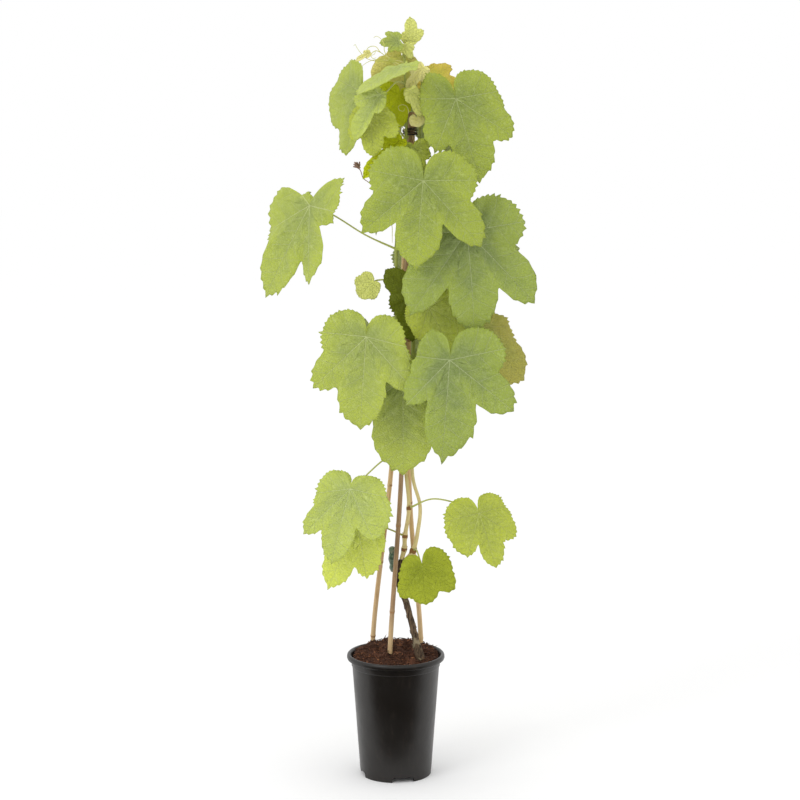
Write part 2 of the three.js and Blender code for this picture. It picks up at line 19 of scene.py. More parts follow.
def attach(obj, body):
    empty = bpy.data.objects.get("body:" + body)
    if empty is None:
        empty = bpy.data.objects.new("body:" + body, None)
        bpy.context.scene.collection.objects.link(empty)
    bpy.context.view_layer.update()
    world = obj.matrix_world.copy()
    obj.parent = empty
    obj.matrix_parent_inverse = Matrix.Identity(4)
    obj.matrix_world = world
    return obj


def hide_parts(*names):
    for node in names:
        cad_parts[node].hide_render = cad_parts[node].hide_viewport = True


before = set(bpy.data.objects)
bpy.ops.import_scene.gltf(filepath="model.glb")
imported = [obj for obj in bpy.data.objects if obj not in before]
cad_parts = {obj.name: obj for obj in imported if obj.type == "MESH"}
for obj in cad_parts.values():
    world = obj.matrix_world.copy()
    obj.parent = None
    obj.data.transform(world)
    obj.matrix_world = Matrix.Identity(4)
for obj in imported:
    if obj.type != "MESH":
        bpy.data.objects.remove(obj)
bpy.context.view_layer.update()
print("nodes in the frame:", len(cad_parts))

# %% [markdown]
# ## Sizes
#
# Every size is written in real millimetres and turned into metres once, where a mesh is made. The pot's
# rim is 150 mm across and the plant is 1.15 m tall. The paths and the leaf table repeat the solids'
# driving dimensions, so the new pieces fall on the old ones.

# %% Sizes
MM = 0.001

POT_HEIGHT = 190
POT_RIM = 75
POT_NECK = 68
POT_FOOT = 54.5
POT_WALL = 1.8

BUNDLE_LOW = (17, 6, 800)
BUNDLE_HIGH = (22, 5, 1014)
BUNDLE_SPREAD = 5.2
CANE_RADIUS = 3.5
CANES = {
    "cane_left": dict(foot=(-36, 48, 190), waist=(-6, 30, 481), turn=150),
    "cane_middle": dict(foot=(-9, -14, 190), waist=(8, -5, 460), turn=270),
    "cane_right": dict(foot=(39, 41, 190), waist=(21, 25, 440), turn=30),
}
TIES = {"tie_lower": 806, "tie_upper": 985}

TRUNK = dict(
    path=((38, -24, 185.5), (33.5, -21, 204), (28.5, -17, 224), (16, -8, 271), (6, -1, 296), (5, 3, 314),
          (11, 5, 334)),
    radii=(7.5, 5, 4.7, 4.5, 4.6, 5.6, 6.2))
STUB = dict(path=((-3, 5, 317), (-4.5, 5, 335), (-5.5, 5, 356)), radii=(4.6, 5.6, 5.2))
SHOOTS = {
    "left": dict(
        path=((9, 5, 336), (13, 5, 352), (14, 5, 371), (20, 5, 414), (15.5, 5, 470), (11, 8, 530),
              (5, 8, 600), (1, 0, 690), (1, -10, 777), (1.5, -12, 830), (10, -14, 920), (16, -15, 1000),
              (14, -8, 1060), (13, -2, 1112)),
        radii=(3.6, 2.8, 2.7, 2.6, 2.5, 2.4, 2.2, 1.8, 1.2)),
    "right": dict(
        path=((15, 4, 335), (26, 0, 349), (34, 0, 383), (37, 0, 420), (26, 0, 464), (26, -4, 560),
              (27, -10, 668), (32, -12, 760), (35, -12, 850), (35, -12, 930), (36, -10, 1000),
              (38, -8, 1046)),
        radii=(3.4, 2.7, 2.6, 2.5, 2.3, 2.1, 1.8, 1.2)),
}

# %% [markdown]
# ### The leaves
#
# One row for each leaf. It names the shoot, the height of the node on it, the point where blade and stalk
# join and the length of the main vein. `face` is the heading of the upper side, `nod` how far that side
# tips up, and `spin` how far the tip swings from straight down. The other values give the heading and the
# reach of lobes and notches. The skin is the finish: leaves differ in age, so they differ in colour. Some
# skins also carry painted light and shade: a leaf that lies in shade behind the others has a darker skin,
# and leaves that lie in the shade of others here have lighter skins.

# %% The leaf table
ORDINARY = dict(spin=0, face=0, nod=12, sides=(-45, 0.85, 45, 0.85), sinus=(0.6, 0.6), waist=(0.55, 0.55),
                base=(-98, 0.6, 98, 0.6), ears=(0.42, 0.42), dome=0.08, fold=0, droop=0, lift=8, bow=0,
                young=False)
LEAVES = {}


def grow_leaf(name, shoot, node, at, long, skin, **shape):
    """One row of the table; what is not given has its ordinary value."""
    LEAVES["leaf_" + name] = {**ORDINARY, "shoot": shoot, "node": node, "at": at, "long": long,
                              "skin": skin, **shape}


grow_leaf("low_front", "right", 352, (40, -60, 340), 58, "bright", spin=4, face=5, nod=18,
          sides=(-40, 0.99, 49, 1.03), sinus=(0.85, 0.76), waist=(0.72, 0.8), base=(-84, 0.58, 100, 0.74),
          ears=(0.4, 0.56))
grow_leaf("low_right", "left", 415, (126, -25, 414), 88, "painted_light_green", spin=16, face=15,
          sides=(-34, 0.78, 40, 0.78), sinus=(0.52, 0.64), waist=(0.7, 0.6), base=(-95, 0.64, 85, 0.5),
          ears=(0.42, 0.36), lift=20, bow=16)
grow_leaf("low_left_back", "left", 372, (-58, -15, 397), 110, "painted_light_lime", spin=-23, face=-12, nod=10,
          sides=(-42, 0.55, 34, 0.77), sinus=(0.5, 0.6), waist=(0.5, 0.55), base=(-98, 0.5, 90, 0.42),
          ears=(0.3, 0.3), lift=4)
grow_leaf("low_left", "left", 500, (-68, -50, 456), 115, "pale", spin=-13, face=-10, nod=15,
          sides=(-32, 0.86, 40, 0.75), sinus=(0.63, 0.5), waist=(0.52, 0.66), base=(-68, 0.46, 92, 0.5),
          ears=(0.28, 0.26), lift=10)
grow_leaf("middle_low", "right", 640, (11, -40, 616), 138, "mid", nod=6, sides=(-60, 0.5, 60, 0.5),
          sinus=(0.52, 0.52), waist=(0.42, 0.42), base=(-98, 0.45, 98, 0.45), ears=(0.3, 0.3))
grow_leaf("middle_left", "left", 700, (-43, -75, 688), 136, "mid", spin=-3, face=-8,
          sides=(-42, 0.79, 46, 0.8), sinus=(0.62, 0.52), waist=(0.5, 0.56), base=(-92, 0.5, 80, 0.44),
          ears=(0.34, 0.33))
grow_leaf("middle_right", "right", 642, (79, -95, 656), 146, "grey", spin=-5, face=5,
          sides=(-40, 0.62, 56, 0.83), sinus=(0.45, 0.5), waist=(0.42, 0.52), base=(-92, 0.34, 106, 0.58),
          ears=(0.36, 0.38))
grow_leaf("behind_left", "left", 740, (30, -26, 741), 67, "painted_shade_olive", spin=-5, face=-8, nod=0,
          sides=(-62, 0.62, 45, 0.45), sinus=(0.6, 0.5), waist=(0.58, 0.3), base=(-126, 0.93, 98, 0.18),
          ears=(0.4, 0.14))
grow_leaf("behind_right", "right", 776, (49, -50, 729), 84, "painted_light_green", spin=27, face=15, nod=4,
          sides=(-45, 0.6, 34, 0.96), sinus=(0.62, 0.8), waist=(0.5, 0.7), base=(-98, 0.45, 90, 0.5),
          ears=(0.3, 0.3))
grow_leaf("far_right", "right", 690, (118, 4, 692), 118, "brownish", spin=45, face=22, nod=5,
          sides=(-45, 0.7, 45, 0.52), waist=(0.5, 0.36), base=(-98, 0.36, 98, 0.25), ears=(0.2, 0.2))
grow_leaf("small_yellow", "left", 756, (-35, -20, 762), 31, "yellow", spin=-45, face=-15, nod=0,
          sides=(-50, 0.9, 50, 0.8), sinus=(0.85, 0.8), waist=(0.7, 0.6), base=(-100, 0.66, 98, 0.5),
          ears=(0.3, 0.3), young=True)
grow_leaf("high_right", "right", 850, (104, -66, 842), 148, "grey", spin=5, face=8, nod=10,
          sides=(-40, 0.99, 39, 0.99), sinus=(0.57, 0.63), waist=(0.66, 0.5), base=(-92, 0.55, 94, 0.6),
          ears=(0.4, 0.4), droop=0.12)
grow_leaf("high_left", "left", 812, (-127, -22, 877), 160, "mid", spin=-29, face=-45,
          sides=(-36, 0.6, 38, 0.74), sinus=(0.6, 0.5), waist=(0.54, 0.26), base=(-98, 0.16, 112, 0.35),
          ears=(0.12, 0.46), dome=0.06, lift=-2)
grow_leaf("high_centre", "right", 905, (40, -95, 917), 127, "full", spin=-5, nod=15,
          sides=(-45, 0.9, 47, 1), sinus=(0.56, 0.53), waist=(0.58, 0.58), base=(-97, 0.63, 96, 0.62),
          ears=(0.45, 0.43))
grow_leaf("curled", "left", 940, (6, -34, 972), 78, "painted_light_vivid", spin=-42, face=-20, nod=20,
          sides=(-30, 0.35, 30, 0.35), sinus=(0.35, 0.35), waist=(0.25, 0.25), base=(-95, 0.2, 95, 0.2),
          ears=(0.12, 0.12), fold=0.5)
grow_leaf("behind_centre", "right", 950, (27, -34, 962), 40, "painted_light_green", spin=12, nod=5,
          sides=(-50, 0.9, 50, 0.7), ears=(0.3, 0.3))
grow_leaf("crown_right", "right", 1015, (88, -42, 1034), 126, "full", spin=15, face=8, nod=15,
          sides=(-38, 0.68, 41, 0.8), sinus=(0.54, 0.64), waist=(0.44, 0.6), base=(-104, 0.42, 85, 0.51),
          ears=(0.44, 0.38))
grow_leaf("crown_left", "left", 1010, (-52, 12, 1044), 98, "mid", spin=-12, face=-50, nod=10,
          sides=(-45, 0.85, 35, 0.45), sinus=(0.75, 0.42), waist=(0.75, 0.34), base=(-95, 0.7, 90, 0.28),
          ears=(0.5, 0.22))
grow_leaf("crown_front", "left", 976, (-36, -46, 1012), 64, "painted_light_green", spin=6, face=-10, nod=18,
          sides=(-40, 0.74, 42, 0.82), waist=(0.55, 0.6), base=(-98, 0.45, 98, 0.42), ears=(0.3, 0.3))
grow_leaf("crown_folded", "left", 1056, (-22, -72, 1040), 78, "pale", spin=-31, face=-20, nod=10,
          sides=(-40, 0.5, 30, 0.36), sinus=(0.45, 0.36), waist=(0.35, 0.22), base=(-95, 0.25, 95, 0.15),
          ears=(0.12, 0.12), fold=0.25, young=True)
grow_leaf("crown_level", "left", 1074, (9, -56, 1080), 84, "pale", face=-60, nod=68,
          sides=(-40, 0.66, 40, 0.66), base=(-98, 0.42, 98, 0.42), ears=(0.22, 0.22), dome=0.12)
grow_leaf("crown_dark", "left", 1020, (6, -21, 1040), 51, "painted_light_vivid", spin=-6, nod=4,
          sides=(-48, 0.9, 50, 0.5), sinus=(0.82, 0.6), waist=(0.75, 0.4), base=(-110, 0.6, 112, 0.36),
          ears=(0.3, 0.2))
grow_leaf("crown_strip", "right", 1024, (22, -40, 1046), 42, "yellow", spin=22, nod=4,
          sides=(-35, 0.45, 35, 0.45), sinus=(0.45, 0.45), waist=(0.3, 0.3), base=(-95, 0.25, 95, 0.25),
          ears=(0.15, 0.15), young=True)
grow_leaf("crown_young", "left", 1082, (9, 8, 1093), 50, "young", nod=-4, sides=(-56, 1.08, 50, 0.66),
          sinus=(0.95, 0.75), waist=(0.85, 0.5), base=(-100, 0.5, 100, 0.34), ears=(0.3, 0.2), dome=0.02,
          young=True)
grow_leaf("crown_cream", "right", 1035, (40, -26, 1078), 40, "cream", spin=-38, nod=6,
          sides=(-35, 0.5, 35, 0.5), sinus=(0.5, 0.5), waist=(0.35, 0.35), base=(-95, 0.3, 95, 0.3),
          ears=(0.15, 0.15), fold=0.2, young=True)
grow_leaf("crown_bronze", "right", 1028, (48, 18, 1062), 54, "bronze", spin=75, face=10, nod=20,
          sides=(-40, 0.75, 45, 0.8), base=(-98, 0.45, 98, 0.4), ears=(0.3, 0.3), young=True)
grow_leaf("tip_left", "left", 1094, (4, -18, 1118), 28, "mid", spin=-84, nod=20, sides=(-40, 0.85, 42, 0.8),
          base=(-90, 0.5, 90, 0.6), ears=(0.2, 0.2), young=True)
grow_leaf("tip", "left", 1100, (20, -2, 1118), 35, "yellow", spin=178, nod=-10, sides=(-52, 0.75, 42, 0.45),
          sinus=(0.6, 0.45), waist=(0.55, 0.38), base=(-95, 0.35, 95, 0.3), ears=(0.15, 0.15), young=True)
grow_leaf("back_crown", "right", 1000, (86, 58, 1028), 100, "mid", spin=-10, face=172)
grow_leaf("back_crown_left", "left", 1000, (-4, 68, 1036), 78, "full", spin=8, face=190)
grow_leaf("back_high", "right", 900, (48, 90, 912), 112, "full", spin=6, face=180, nod=18)
grow_leaf("back_high_right", "right", 820, (118, 56, 836), 112, "grey", spin=-6, face=156)
grow_leaf("back_centre", "right", 790, (46, 92, 796), 88, "full", spin=-14, face=184)
grow_leaf("back_left", "left", 660, (-40, 74, 668), 104, "mid", spin=4, face=190)
grow_leaf("back_right", "right", 650, (84, 76, 650), 118, "full", spin=-4, face=172)
grow_leaf("back_low", "left", 560, (10, 74, 604), 100, "full", face=182, nod=8)
grow_leaf("side_right", "right", 960, (92, 8, 980), 88, "mid", spin=4, face=96, nod=16)
grow_leaf("side_right_low", "right", 600, (84, -8, 622), 96, "full", face=84, nod=16)
grow_leaf("side_left", "left", 630, (-50, 0, 650), 88, "full", face=268, nod=14)
grow_leaf("side_left_high", "left", 900, (-16, 20, 912), 82, "mid", face=272, nod=14)
print("leaves in the table:", len(LEAVES))

# %% [markdown]
# ## Helpers
#
# A few small tools are enough for the whole scene. `add` puts one node in a material and links it in the
# same call. `linear` turns a screen colour into the linear values that a shader needs. `finish_piece`
# turns a mesh under construction into an object and ties it to the frame.

# %% Helpers
def linear(code, alpha=1.0):
    """A colour written as on a screen, turned into the linear values of light."""
    parts = [int(code[place:place + 2], 16) / 255 for place in (1, 3, 5)]
    light = [part / 12.92 if part <= 0.04045 else ((part + 0.055) / 1.055) ** 2.4 for part in parts]
    return (*light, alpha)


def add(tree, kind, inputs=None, **settings):
    """One node with its settings; an input given as another node's output is linked."""
    made = tree.nodes.new(kind)
    for name, value in settings.items():
        setattr(made, name, value)
    for name, value in (inputs or {}).items():
        if isinstance(value, bpy.types.NodeSocket):
            tree.links.new(value, made.inputs[name])
        else:
            made.inputs[name].default_value = value
    return made


def mathnode(tree, operation, *values):
    """A Math node's result."""
    return add(tree, "ShaderNodeMath", dict(enumerate(values)), operation=operation).outputs[0]


def mixed(tree, share, first, second):
    """Two colours mixed by a share; the Mix node's own numbers for its colour sockets are 6, 7 and 2."""
    return add(tree, "ShaderNodeMix", {0: share, 6: first, 7: second}, data_type="RGBA").outputs[2]


def band(tree, value, low, high, start=0.0, end=1.0):
    """A value's place between low and high, eased at both ends."""
    inputs = {"Value": value, "From Min": low, "From Max": high, "To Min": start, "To Max": end}
    return add(tree, "ShaderNodeMapRange", inputs, interpolation_type="SMOOTHSTEP").outputs["Result"]


def grain(tree, scale, stretch=(1, 1, 1), detail=4.0, roughness=0.55):
    """Noise in the object's own coordinates; `scale` is how many spots fit in a metre."""
    coordinates = add(tree, "ShaderNodeTexCoord").outputs["Object"]
    mapping = add(tree, "ShaderNodeMapping", {"Vector": coordinates, "Scale": stretch})
    inputs = {"Vector": mapping.outputs["Vector"], "Scale": scale, "Detail": detail, "Roughness": roughness}
    return add(tree, "ShaderNodeTexNoise", inputs).outputs["Fac"]


def height_above_ground(tree):
    """How high a point of the plant lies, in metres."""
    coordinates = add(tree, "ShaderNodeTexCoord").outputs["Object"]
    return add(tree, "ShaderNodeSeparateXYZ", {"Vector": coordinates}).outputs["Z"]


def new_material(name, roughness, ior=1.45):
    """A named material, its node tree and its surface shader."""
    material = bpy.data.materials.new(name)
    material.use_nodes = True
    surface = material.node_tree.nodes["Principled BSDF"]
    surface.inputs["Roughness"].default_value = roughness
    surface.inputs["IOR"].default_value = ior
    return material, material.node_tree, surface


def paint(tree, surface, colour, bump=None, bump_height=0.0):
    """Links a colour to the surface, and a bump of a full height in metres where one is given."""
    tree.links.new(colour, surface.inputs["Base Color"])
    if bump:
        relief = add(tree, "ShaderNodeBump", {"Height": bump, "Distance": bump_height})
        tree.links.new(relief.outputs["Normal"], surface.inputs["Normal"])


def speckled(name, roughness, ior, dark, light, spots, crisp=False, **noise_settings):
    """A material of two colours in fine spots, blurred or crisp."""
    material, tree, surface = new_material(name, roughness, ior)
    share = grain(tree, spots, **noise_settings)
    if crisp:
        share = band(tree, share, 0.35, 0.65)
    paint(tree, surface, mixed(tree, share, linear(dark), linear(light)))
    return material


def new_object(name, data):
    """An object in the scene for a mesh, a lamp or a camera."""
    made = bpy.data.objects.new(name, data)
    bpy.context.scene.collection.objects.link(made)
    return made


def mesh_object(bm, name, materials=()):
    """The mesh under construction becomes an object with its materials."""
    mesh = bpy.data.meshes.new(name)
    bm.to_mesh(mesh)
    bm.free()
    for material in materials:
        mesh.materials.append(material)
    return new_object(name, mesh)


def finish_piece(bm, name, materials, nodes=(), smooth=True):
    """The mesh under construction becomes a piece of the plant that stands for its CAD nodes."""
    for face in bm.faces:
        face.smooth = smooth
    piece = mesh_object(bm, name, materials)
    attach(piece, "root")
    if nodes:
        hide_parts(*nodes)
    return piece


# %% [markdown]
# ### Limbs
#
# Canes, trunk, shoots, stalks and tendrils are all the same job: a round section carried along a smooth
# line while its radius changes. `smooth_path` gives evenly spaced places on the line. `limb` makes one
# circle and extrudes its edge from place to place; each new ring is carried there by a matrix, which
# turns it square to the line without twisting it.

# %% Limbs
def smooth_path(points, count):
    """`count` + 1 evenly spaced places, in metres, on the smooth curve through points in mm."""
    spots = [Vector(point) * MM for point in points]
    spots = [spots[0] * 2 - spots[1], *spots, spots[-1] * 2 - spots[-2]]
    line = []
    for before, start, end, after in zip(spots, spots[1:], spots[2:], spots[3:]):
        gap_in, gap, gap_out = [max((b - a).length ** 0.5, 1e-4)
                                for a, b in ((before, start), (start, end), (end, after))]
        leave = (start - before) / gap_in - (end - before) / (gap_in + gap) + (end - start) / gap
        arrive = (end - start) / gap - (after - start) / (gap + gap_out) + (after - end) / gap_out
        leave *= gap
        arrive *= gap
        for part in range(32):
            t = part / 32
            bow = (end - start) * 3 - leave * 2 - arrive
            curl = (start - end) * 2 + leave + arrive
            line.append(start + leave * t + bow * t ** 2 + curl * t ** 3)
    line.append(spots[-2])
    walked = [0.0]
    for a, b in zip(line, line[1:]):
        walked.append(walked[-1] + (b - a).length)
    places = []
    step = 0
    for number in range(count + 1):
        wanted = walked[-1] * number / count
        while step < len(line) - 2 and walked[step + 1] < wanted:
            step += 1
        share = (wanted - walked[step]) / max(walked[step + 1] - walked[step], 1e-9)
        places.append(line[step].lerp(line[step + 1], share))
    return places


def between(values, share):
    """The value at a share of the way along evenly spaced values."""
    place = share * (len(values) - 1)
    step = min(int(place), len(values) - 2)
    return values[step] + (values[step + 1] - values[step]) * (place - step)


def limb(bm, places, radii, sides=12, swell=None, material_index=0):
    """A tapering round limb through places; `swell(share, place)` scales the radius where it is given."""
    ring = bmesh.ops.create_circle(bm, segments=sides, radius=1.0)["verts"]
    edges = list({edge for vertex in ring for edge in vertex.link_edges})
    turn = Vector((0, 0, 1)).rotation_difference(places[1] - places[0])
    carried = Matrix.Identity(4)
    made = []
    faces = [bmesh.ops.contextual_create(bm, geom=edges)["faces"][0]]
    for number, place in enumerate(places):
        share = number / (len(places) - 1)
        before = places[max(number - 1, 0)]
        after = places[min(number + 1, len(places) - 1)]
        ahead = (after - before).normalized()
        turn = (turn @ Vector((0, 0, 1))).rotation_difference(ahead) @ turn
        radius = between(radii, share) * MM
        if swell:
            radius *= swell(share, place)
        matrix = Matrix.LocRotScale(place, turn, Vector((radius, radius, radius)))
        if number:
            grown = bmesh.ops.extrude_edge_only(bm, edges=edges)["geom"]
            ring = [item for item in grown if isinstance(item, bmesh.types.BMVert)]
            edges = [item for item in grown if isinstance(item, bmesh.types.BMEdge)]
            faces += [item for item in grown if isinstance(item, bmesh.types.BMFace)]
        bmesh.ops.transform(bm, matrix=matrix @ carried.inverted(), verts=ring)
        carried = matrix
        made.append(ring)
    faces.append(bmesh.ops.contextual_create(bm, geom=edges)["faces"][0])
    for face in faces:
        face.material_index = material_index
    bmesh.ops.recalc_face_normals(bm, faces=faces)
    return made


def nodes_at(heights, swelling, reach):
    """A swell function: the limb thickens round certain heights, given in mm."""
    def swell(share, place):
        return 1 + sum(swelling * math.exp(-((place.z / MM - height) / reach) ** 2) for height in heights)
    return swell


# %% [markdown]
# ## The pot
#
# A nursery pot is blown or moulded in thin black polypropylene. Its profile is a single line, so one
# spin makes it: skirt, tapering wall, a step under the collar and a rolled lip. The foot has four
# arched gaps that let water out, and the floor four drain holes. These are cut with one cutter, because
# a cut keeps the wall's thickness true along the edge.

# %% Pot
def smooth_profile(bm, profile, segments):
    """A line of (radius, height) in mm, spun once round Z and closed on itself."""
    points = [bmesh.ops.create_vert(bm, co=(radius * MM, 0, height * MM))["vert"][0]
              for radius, height in profile]
    edges = [bmesh.ops.contextual_create(bm, geom=[a, b])["edges"][0] for a, b in zip(points, points[1:])]
    bmesh.ops.spin(bm, geom=points + edges, cent=(0, 0, 0), axis=(0, 0, 1), angle=math.tau, steps=segments,
                   use_merge=True)
    bmesh.ops.remove_doubles(bm, verts=bm.verts, dist=1e-6)
    bmesh.ops.recalc_face_normals(bm, faces=bm.faces)


POT_SPOKES = 128
FOOT_GAPS = 4
FIRST_GAP = 12.7
GAP_SIZE = (33, 12, 16)
DRAIN_HOLES = 4
DRAIN_RADIUS = 4.5
DRAIN_REACH = 34
POT_PROFILE = (
    (0.0, 9), (50.6, 9), (51.4, 8.2), (51.5, 0.6), (52.1, 0), (53.9, 0), (POT_FOOT, 0.7), (55.3, 10),
    (66.8, 170), (67.0, 170.8), (67.6, 171.3), (POT_NECK, 172), (POT_NECK, 178.5), (68.5, 180), (69.8, 180.8),
    (72.6, 181.1), (74.2, 182), (POT_RIM, 183.8), (POT_RIM, 186.4), (74.4, 188.5), (73.2, 189.7),
    (71.8, 190), (70.2, 189.5), (69, 188.2), (POT_NECK - POT_WALL + 1, 184), (POT_NECK - POT_WALL, 180),
    (53.6, 12.4), (52.4, 11.2), (0.0, 11))

pot_mesh = bmesh.new()
smooth_profile(pot_mesh, POT_PROFILE, POT_SPOKES)

cutter_mesh = bmesh.new()
for gap_number in range(FOOT_GAPS):
    heading = math.radians(FIRST_GAP + 360 / FOOT_GAPS * gap_number)
    gap = Matrix.Rotation(heading, 4, "Z") @ Matrix.Translation((0, (2 - POT_FOOT) * MM, 0))
    gap = gap @ Matrix.Diagonal((*(size * MM for size in GAP_SIZE), 1))
    block = bmesh.ops.create_cube(cutter_mesh, size=1.0, matrix=gap)["verts"]
    upper = {edge for vertex in block if vertex.co.z > 0 for edge in vertex.link_edges
             if all(corner.co.z > 0 for corner in edge.verts)}
    ends = [edge for edge in upper if (edge.verts[0].co.xy - edge.verts[1].co.xy).length < 20 * MM]
    bmesh.ops.bevel(cutter_mesh, geom=ends, offset=4 * MM, segments=5, profile=0.5, affect="EDGES",
                    material=-1)
for hole_number in range(DRAIN_HOLES):
    heading = math.tau * hole_number / DRAIN_HOLES
    spot = Vector((DRAIN_REACH * math.cos(heading), DRAIN_REACH * math.sin(heading), 10)) * MM
    bmesh.ops.create_cone(cutter_mesh, cap_ends=True, segments=24, radius1=DRAIN_RADIUS * MM,
                          radius2=DRAIN_RADIUS * MM, depth=20 * MM, matrix=Matrix.Translation(spot))
cutter = mesh_object(cutter_mesh, "pot_cutter")

# %% [markdown]
# ### Black polypropylene
#
# The plastic is satin: broad soft highlights run down the wall, and the moulding leaves it very slightly
# uneven. The unevenness goes in as a shallow bump with spots some centimetres wide, because perfectly
# smooth plastic looks like glass.

# %% Pot material
plastic, tree, surface = new_material("black_polypropylene_moulded", 0.4, 1.49)
cloud = grain(tree, 22, detail=3)
scuff = grain(tree, 140, stretch=(1, 1, 0.25), detail=5)
black = mixed(tree, band(tree, scuff, 0.52, 0.8), linear("#16110c"), linear("#251d16"))
paint(tree, surface, black, cloud, 0.0009)
tree.links.new(band(tree, cloud, 0.2, 0.8, 0.3, 0.42), surface.inputs["Roughness"])

pot = finish_piece(pot_mesh, "pot_wall", [plastic], ["pot"])
cut = pot.modifiers.new("cut", "BOOLEAN")
cut.object = cutter
cut.operation = "DIFFERENCE"
cut.solver = "EXACT"
evaluated = pot.evaluated_get(bpy.context.evaluated_depsgraph_get())
cut_mesh = bpy.data.meshes.new_from_object(evaluated)
pot.modifiers.clear()
pot.data = cut_mesh
bpy.data.objects.remove(cutter)
for polygon in cut_mesh.polygons:
    polygon.use_smooth = True
cut_mesh.set_sharp_from_angle(angle=math.radians(35))
print("pot faces:", len(pot.data.polygons))

# %% [markdown]
# ## The compost
#
# Peat with shredded bark, heaped a little above the rim. The mound is a spin with the same rise as its
# solid; noise roughens the top. Chips of bark and short fibres lie on it in every direction. Each chip
# starts as a small ball of twenty faces, is squashed flat and pulled out of true, and a seeded generator
# lays it on the mound, so that no two look alike but every run gives the same heap.

# %% Compost
def mound_height(x, y):
    """Height of the compost's top at a place, all in mm."""
    shoulder = POT_NECK - POT_WALL - 0.6
    inward = 1 - (x * x + y * y) / shoulder ** 2
    rough = 1.8 * (math.sin(x * 0.31) + math.cos(y * 0.27 + x * 0.13))
    clod = 3.4 * noise.noise((x * 0.07, y * 0.07, 3.1)) + 1.8 * noise.noise((x * 0.26, y * 0.26, 8.7))
    heap = 5 * max(y, 0) / shoulder * max(inward, 0) ** 0.4
    return 186 + max(inward, 0) * (9 + rough) + 7 * y / shoulder + clod + heap


compost_mesh = bmesh.new()
smooth_profile(compost_mesh, [(0.0, 11.6), (52, 11.6), (65.6, 179)]
               + [(65.6 * (1 - ring / 34), 186) for ring in range(35)], 140)
for vertex in compost_mesh.verts:
    if vertex.co.z > 0.18:
        vertex.co.z = mound_height(vertex.co.x / MM, vertex.co.y / MM) * MM

peat, tree, surface = new_material("peat_compost_milled", 0.95, 1.4)
crumb = grain(tree, 420, detail=6)
patch = grain(tree, 60, detail=2)
earth = mixed(tree, band(tree, crumb, 0.3, 0.7), linear("#26160e"), linear("#5a3623"))
earth = mixed(tree, band(tree, patch, 0.5, 0.75, 0, 0.6), earth, linear("#6e4530"))
paint(tree, surface, earth, crumb, 0.0025)
finish_piece(compost_mesh, "compost_mound", [peat], ["compost"])

bark_chip, tree, surface = new_material("bark_chips_shredded", 0.9, 1.4)
fibre = grain(tree, 300, stretch=(1, 1, 0.4), detail=5)
chip_colour = mixed(tree, band(tree, fibre, 0.25, 0.75), linear("#4c2e20"), linear("#93613f"))
paint(tree, surface, chip_colour, fibre, 0.0008)
dark_chip = speckled("peat_crumbs_dark", 0.95, 1.4, "#2c1a12", "#5d3a28", 260)

CHIPS = 760
CHIPS_REACH = 64
chips_mesh = bmesh.new()
chance = random.Random(11)
for number in range(CHIPS):
    reach = CHIPS_REACH * math.sqrt(chance.random())
    heading = chance.uniform(0, math.tau)
    x, y = reach * math.cos(heading), reach * math.sin(heading)
    long = chance.uniform(2.5, 9) if number % 3 else chance.uniform(9, 21)
    wide = long * chance.uniform(0.25, 0.7) if number % 3 else chance.uniform(0.7, 2.4)
    thick = chance.uniform(0.8, 2.4)
    tilt = Matrix.Rotation(chance.gauss(0, 0.45), 4, "X") @ Matrix.Rotation(chance.gauss(0, 0.35), 4, "Y")
    spot = Matrix.Translation((x * MM, y * MM, (mound_height(x, y) + chance.uniform(0, 1.8)) * MM))
    shape = Matrix.Diagonal((long * MM / 2, wide * MM / 2, thick * MM / 2, 1))
    matrix = spot @ Matrix.Rotation(heading * 7, 4, "Z") @ tilt @ shape
    ball = bmesh.ops.create_icosphere(chips_mesh, subdivisions=1, radius=1.0)["verts"]
    for vertex in ball:
        vertex.co *= chance.uniform(0.62, 1.15)
    bmesh.ops.transform(chips_mesh, matrix=matrix, verts=ball)
    kind = 0 if chance.random() < 0.24 else 1
    for face in {face for vertex in ball for face in vertex.link_faces}:
        face.material_index = kind
bmesh.ops.recalc_face_normals(chips_mesh, faces=chips_mesh.faces)
finish_piece(chips_mesh, "bark_chips", [bark_chip, dark_chip], smooth=False)
print("chips laid:", CHIPS)

# %% [markdown]
# ## The canes
#
# Split-free bamboo, about seven millimetres thick. A culm has a raised ring at every joint, with a scar
# just below it, and tapers hardly at all. The joints sit at different heights on each cane, which is
# what keeps three canes from looking like three copies.

# %% Canes
def cane_path(foot, waist, turn):
    """The cane's line from its buried end to the top of the bundle, in mm."""
    heading = math.radians(turn)
    offset = (BUNDLE_SPREAD * math.cos(heading), BUNDLE_SPREAD * math.sin(heading), 0)
    tied = [[value + aside for value, aside in zip(end, offset)] for end in (BUNDLE_LOW, BUNDLE_HIGH)]
    return [(foot[0] * 0.9, foot[1] * 0.9, foot[2] - 60), foot, waist, *tied]


def culm_finish(name, dark, light, stained):
    """Dried bamboo: fine streaks run along the culm, stained in long patches, lighter towards the foot."""
    material, tree, surface = new_material(name, 0.45, 1.5)
    streak = grain(tree, 900, stretch=(1, 1, 0.03), detail=4)
    stain = grain(tree, 16, stretch=(1, 1, 0.6), detail=3)
    culm = mixed(tree, band(tree, streak, 0.3, 0.7), linear(dark), linear(light))
    culm = mixed(tree, band(tree, stain, 0.42, 0.7, 0, 0.7), culm, linear(stained))
    lighter_foot = band(tree, height_above_ground(tree), 0.215, 0.275, 0.75, 0)
    paint(tree, surface, mixed(tree, lighter_foot, culm, linear("#d6b888")), streak, 0.0003)
    return material


bamboo_pale = culm_finish("bamboo_dried_pale", "#c7a26e", "#e6c696", "#b38d60")
bamboo_brown = culm_finish("bamboo_dried_brown", "#977652", "#b8956c", "#80634a")
joint_scar = speckled("bamboo_joint_scar", 0.6, 1.5, "#86603c", "#b58a58", 500)

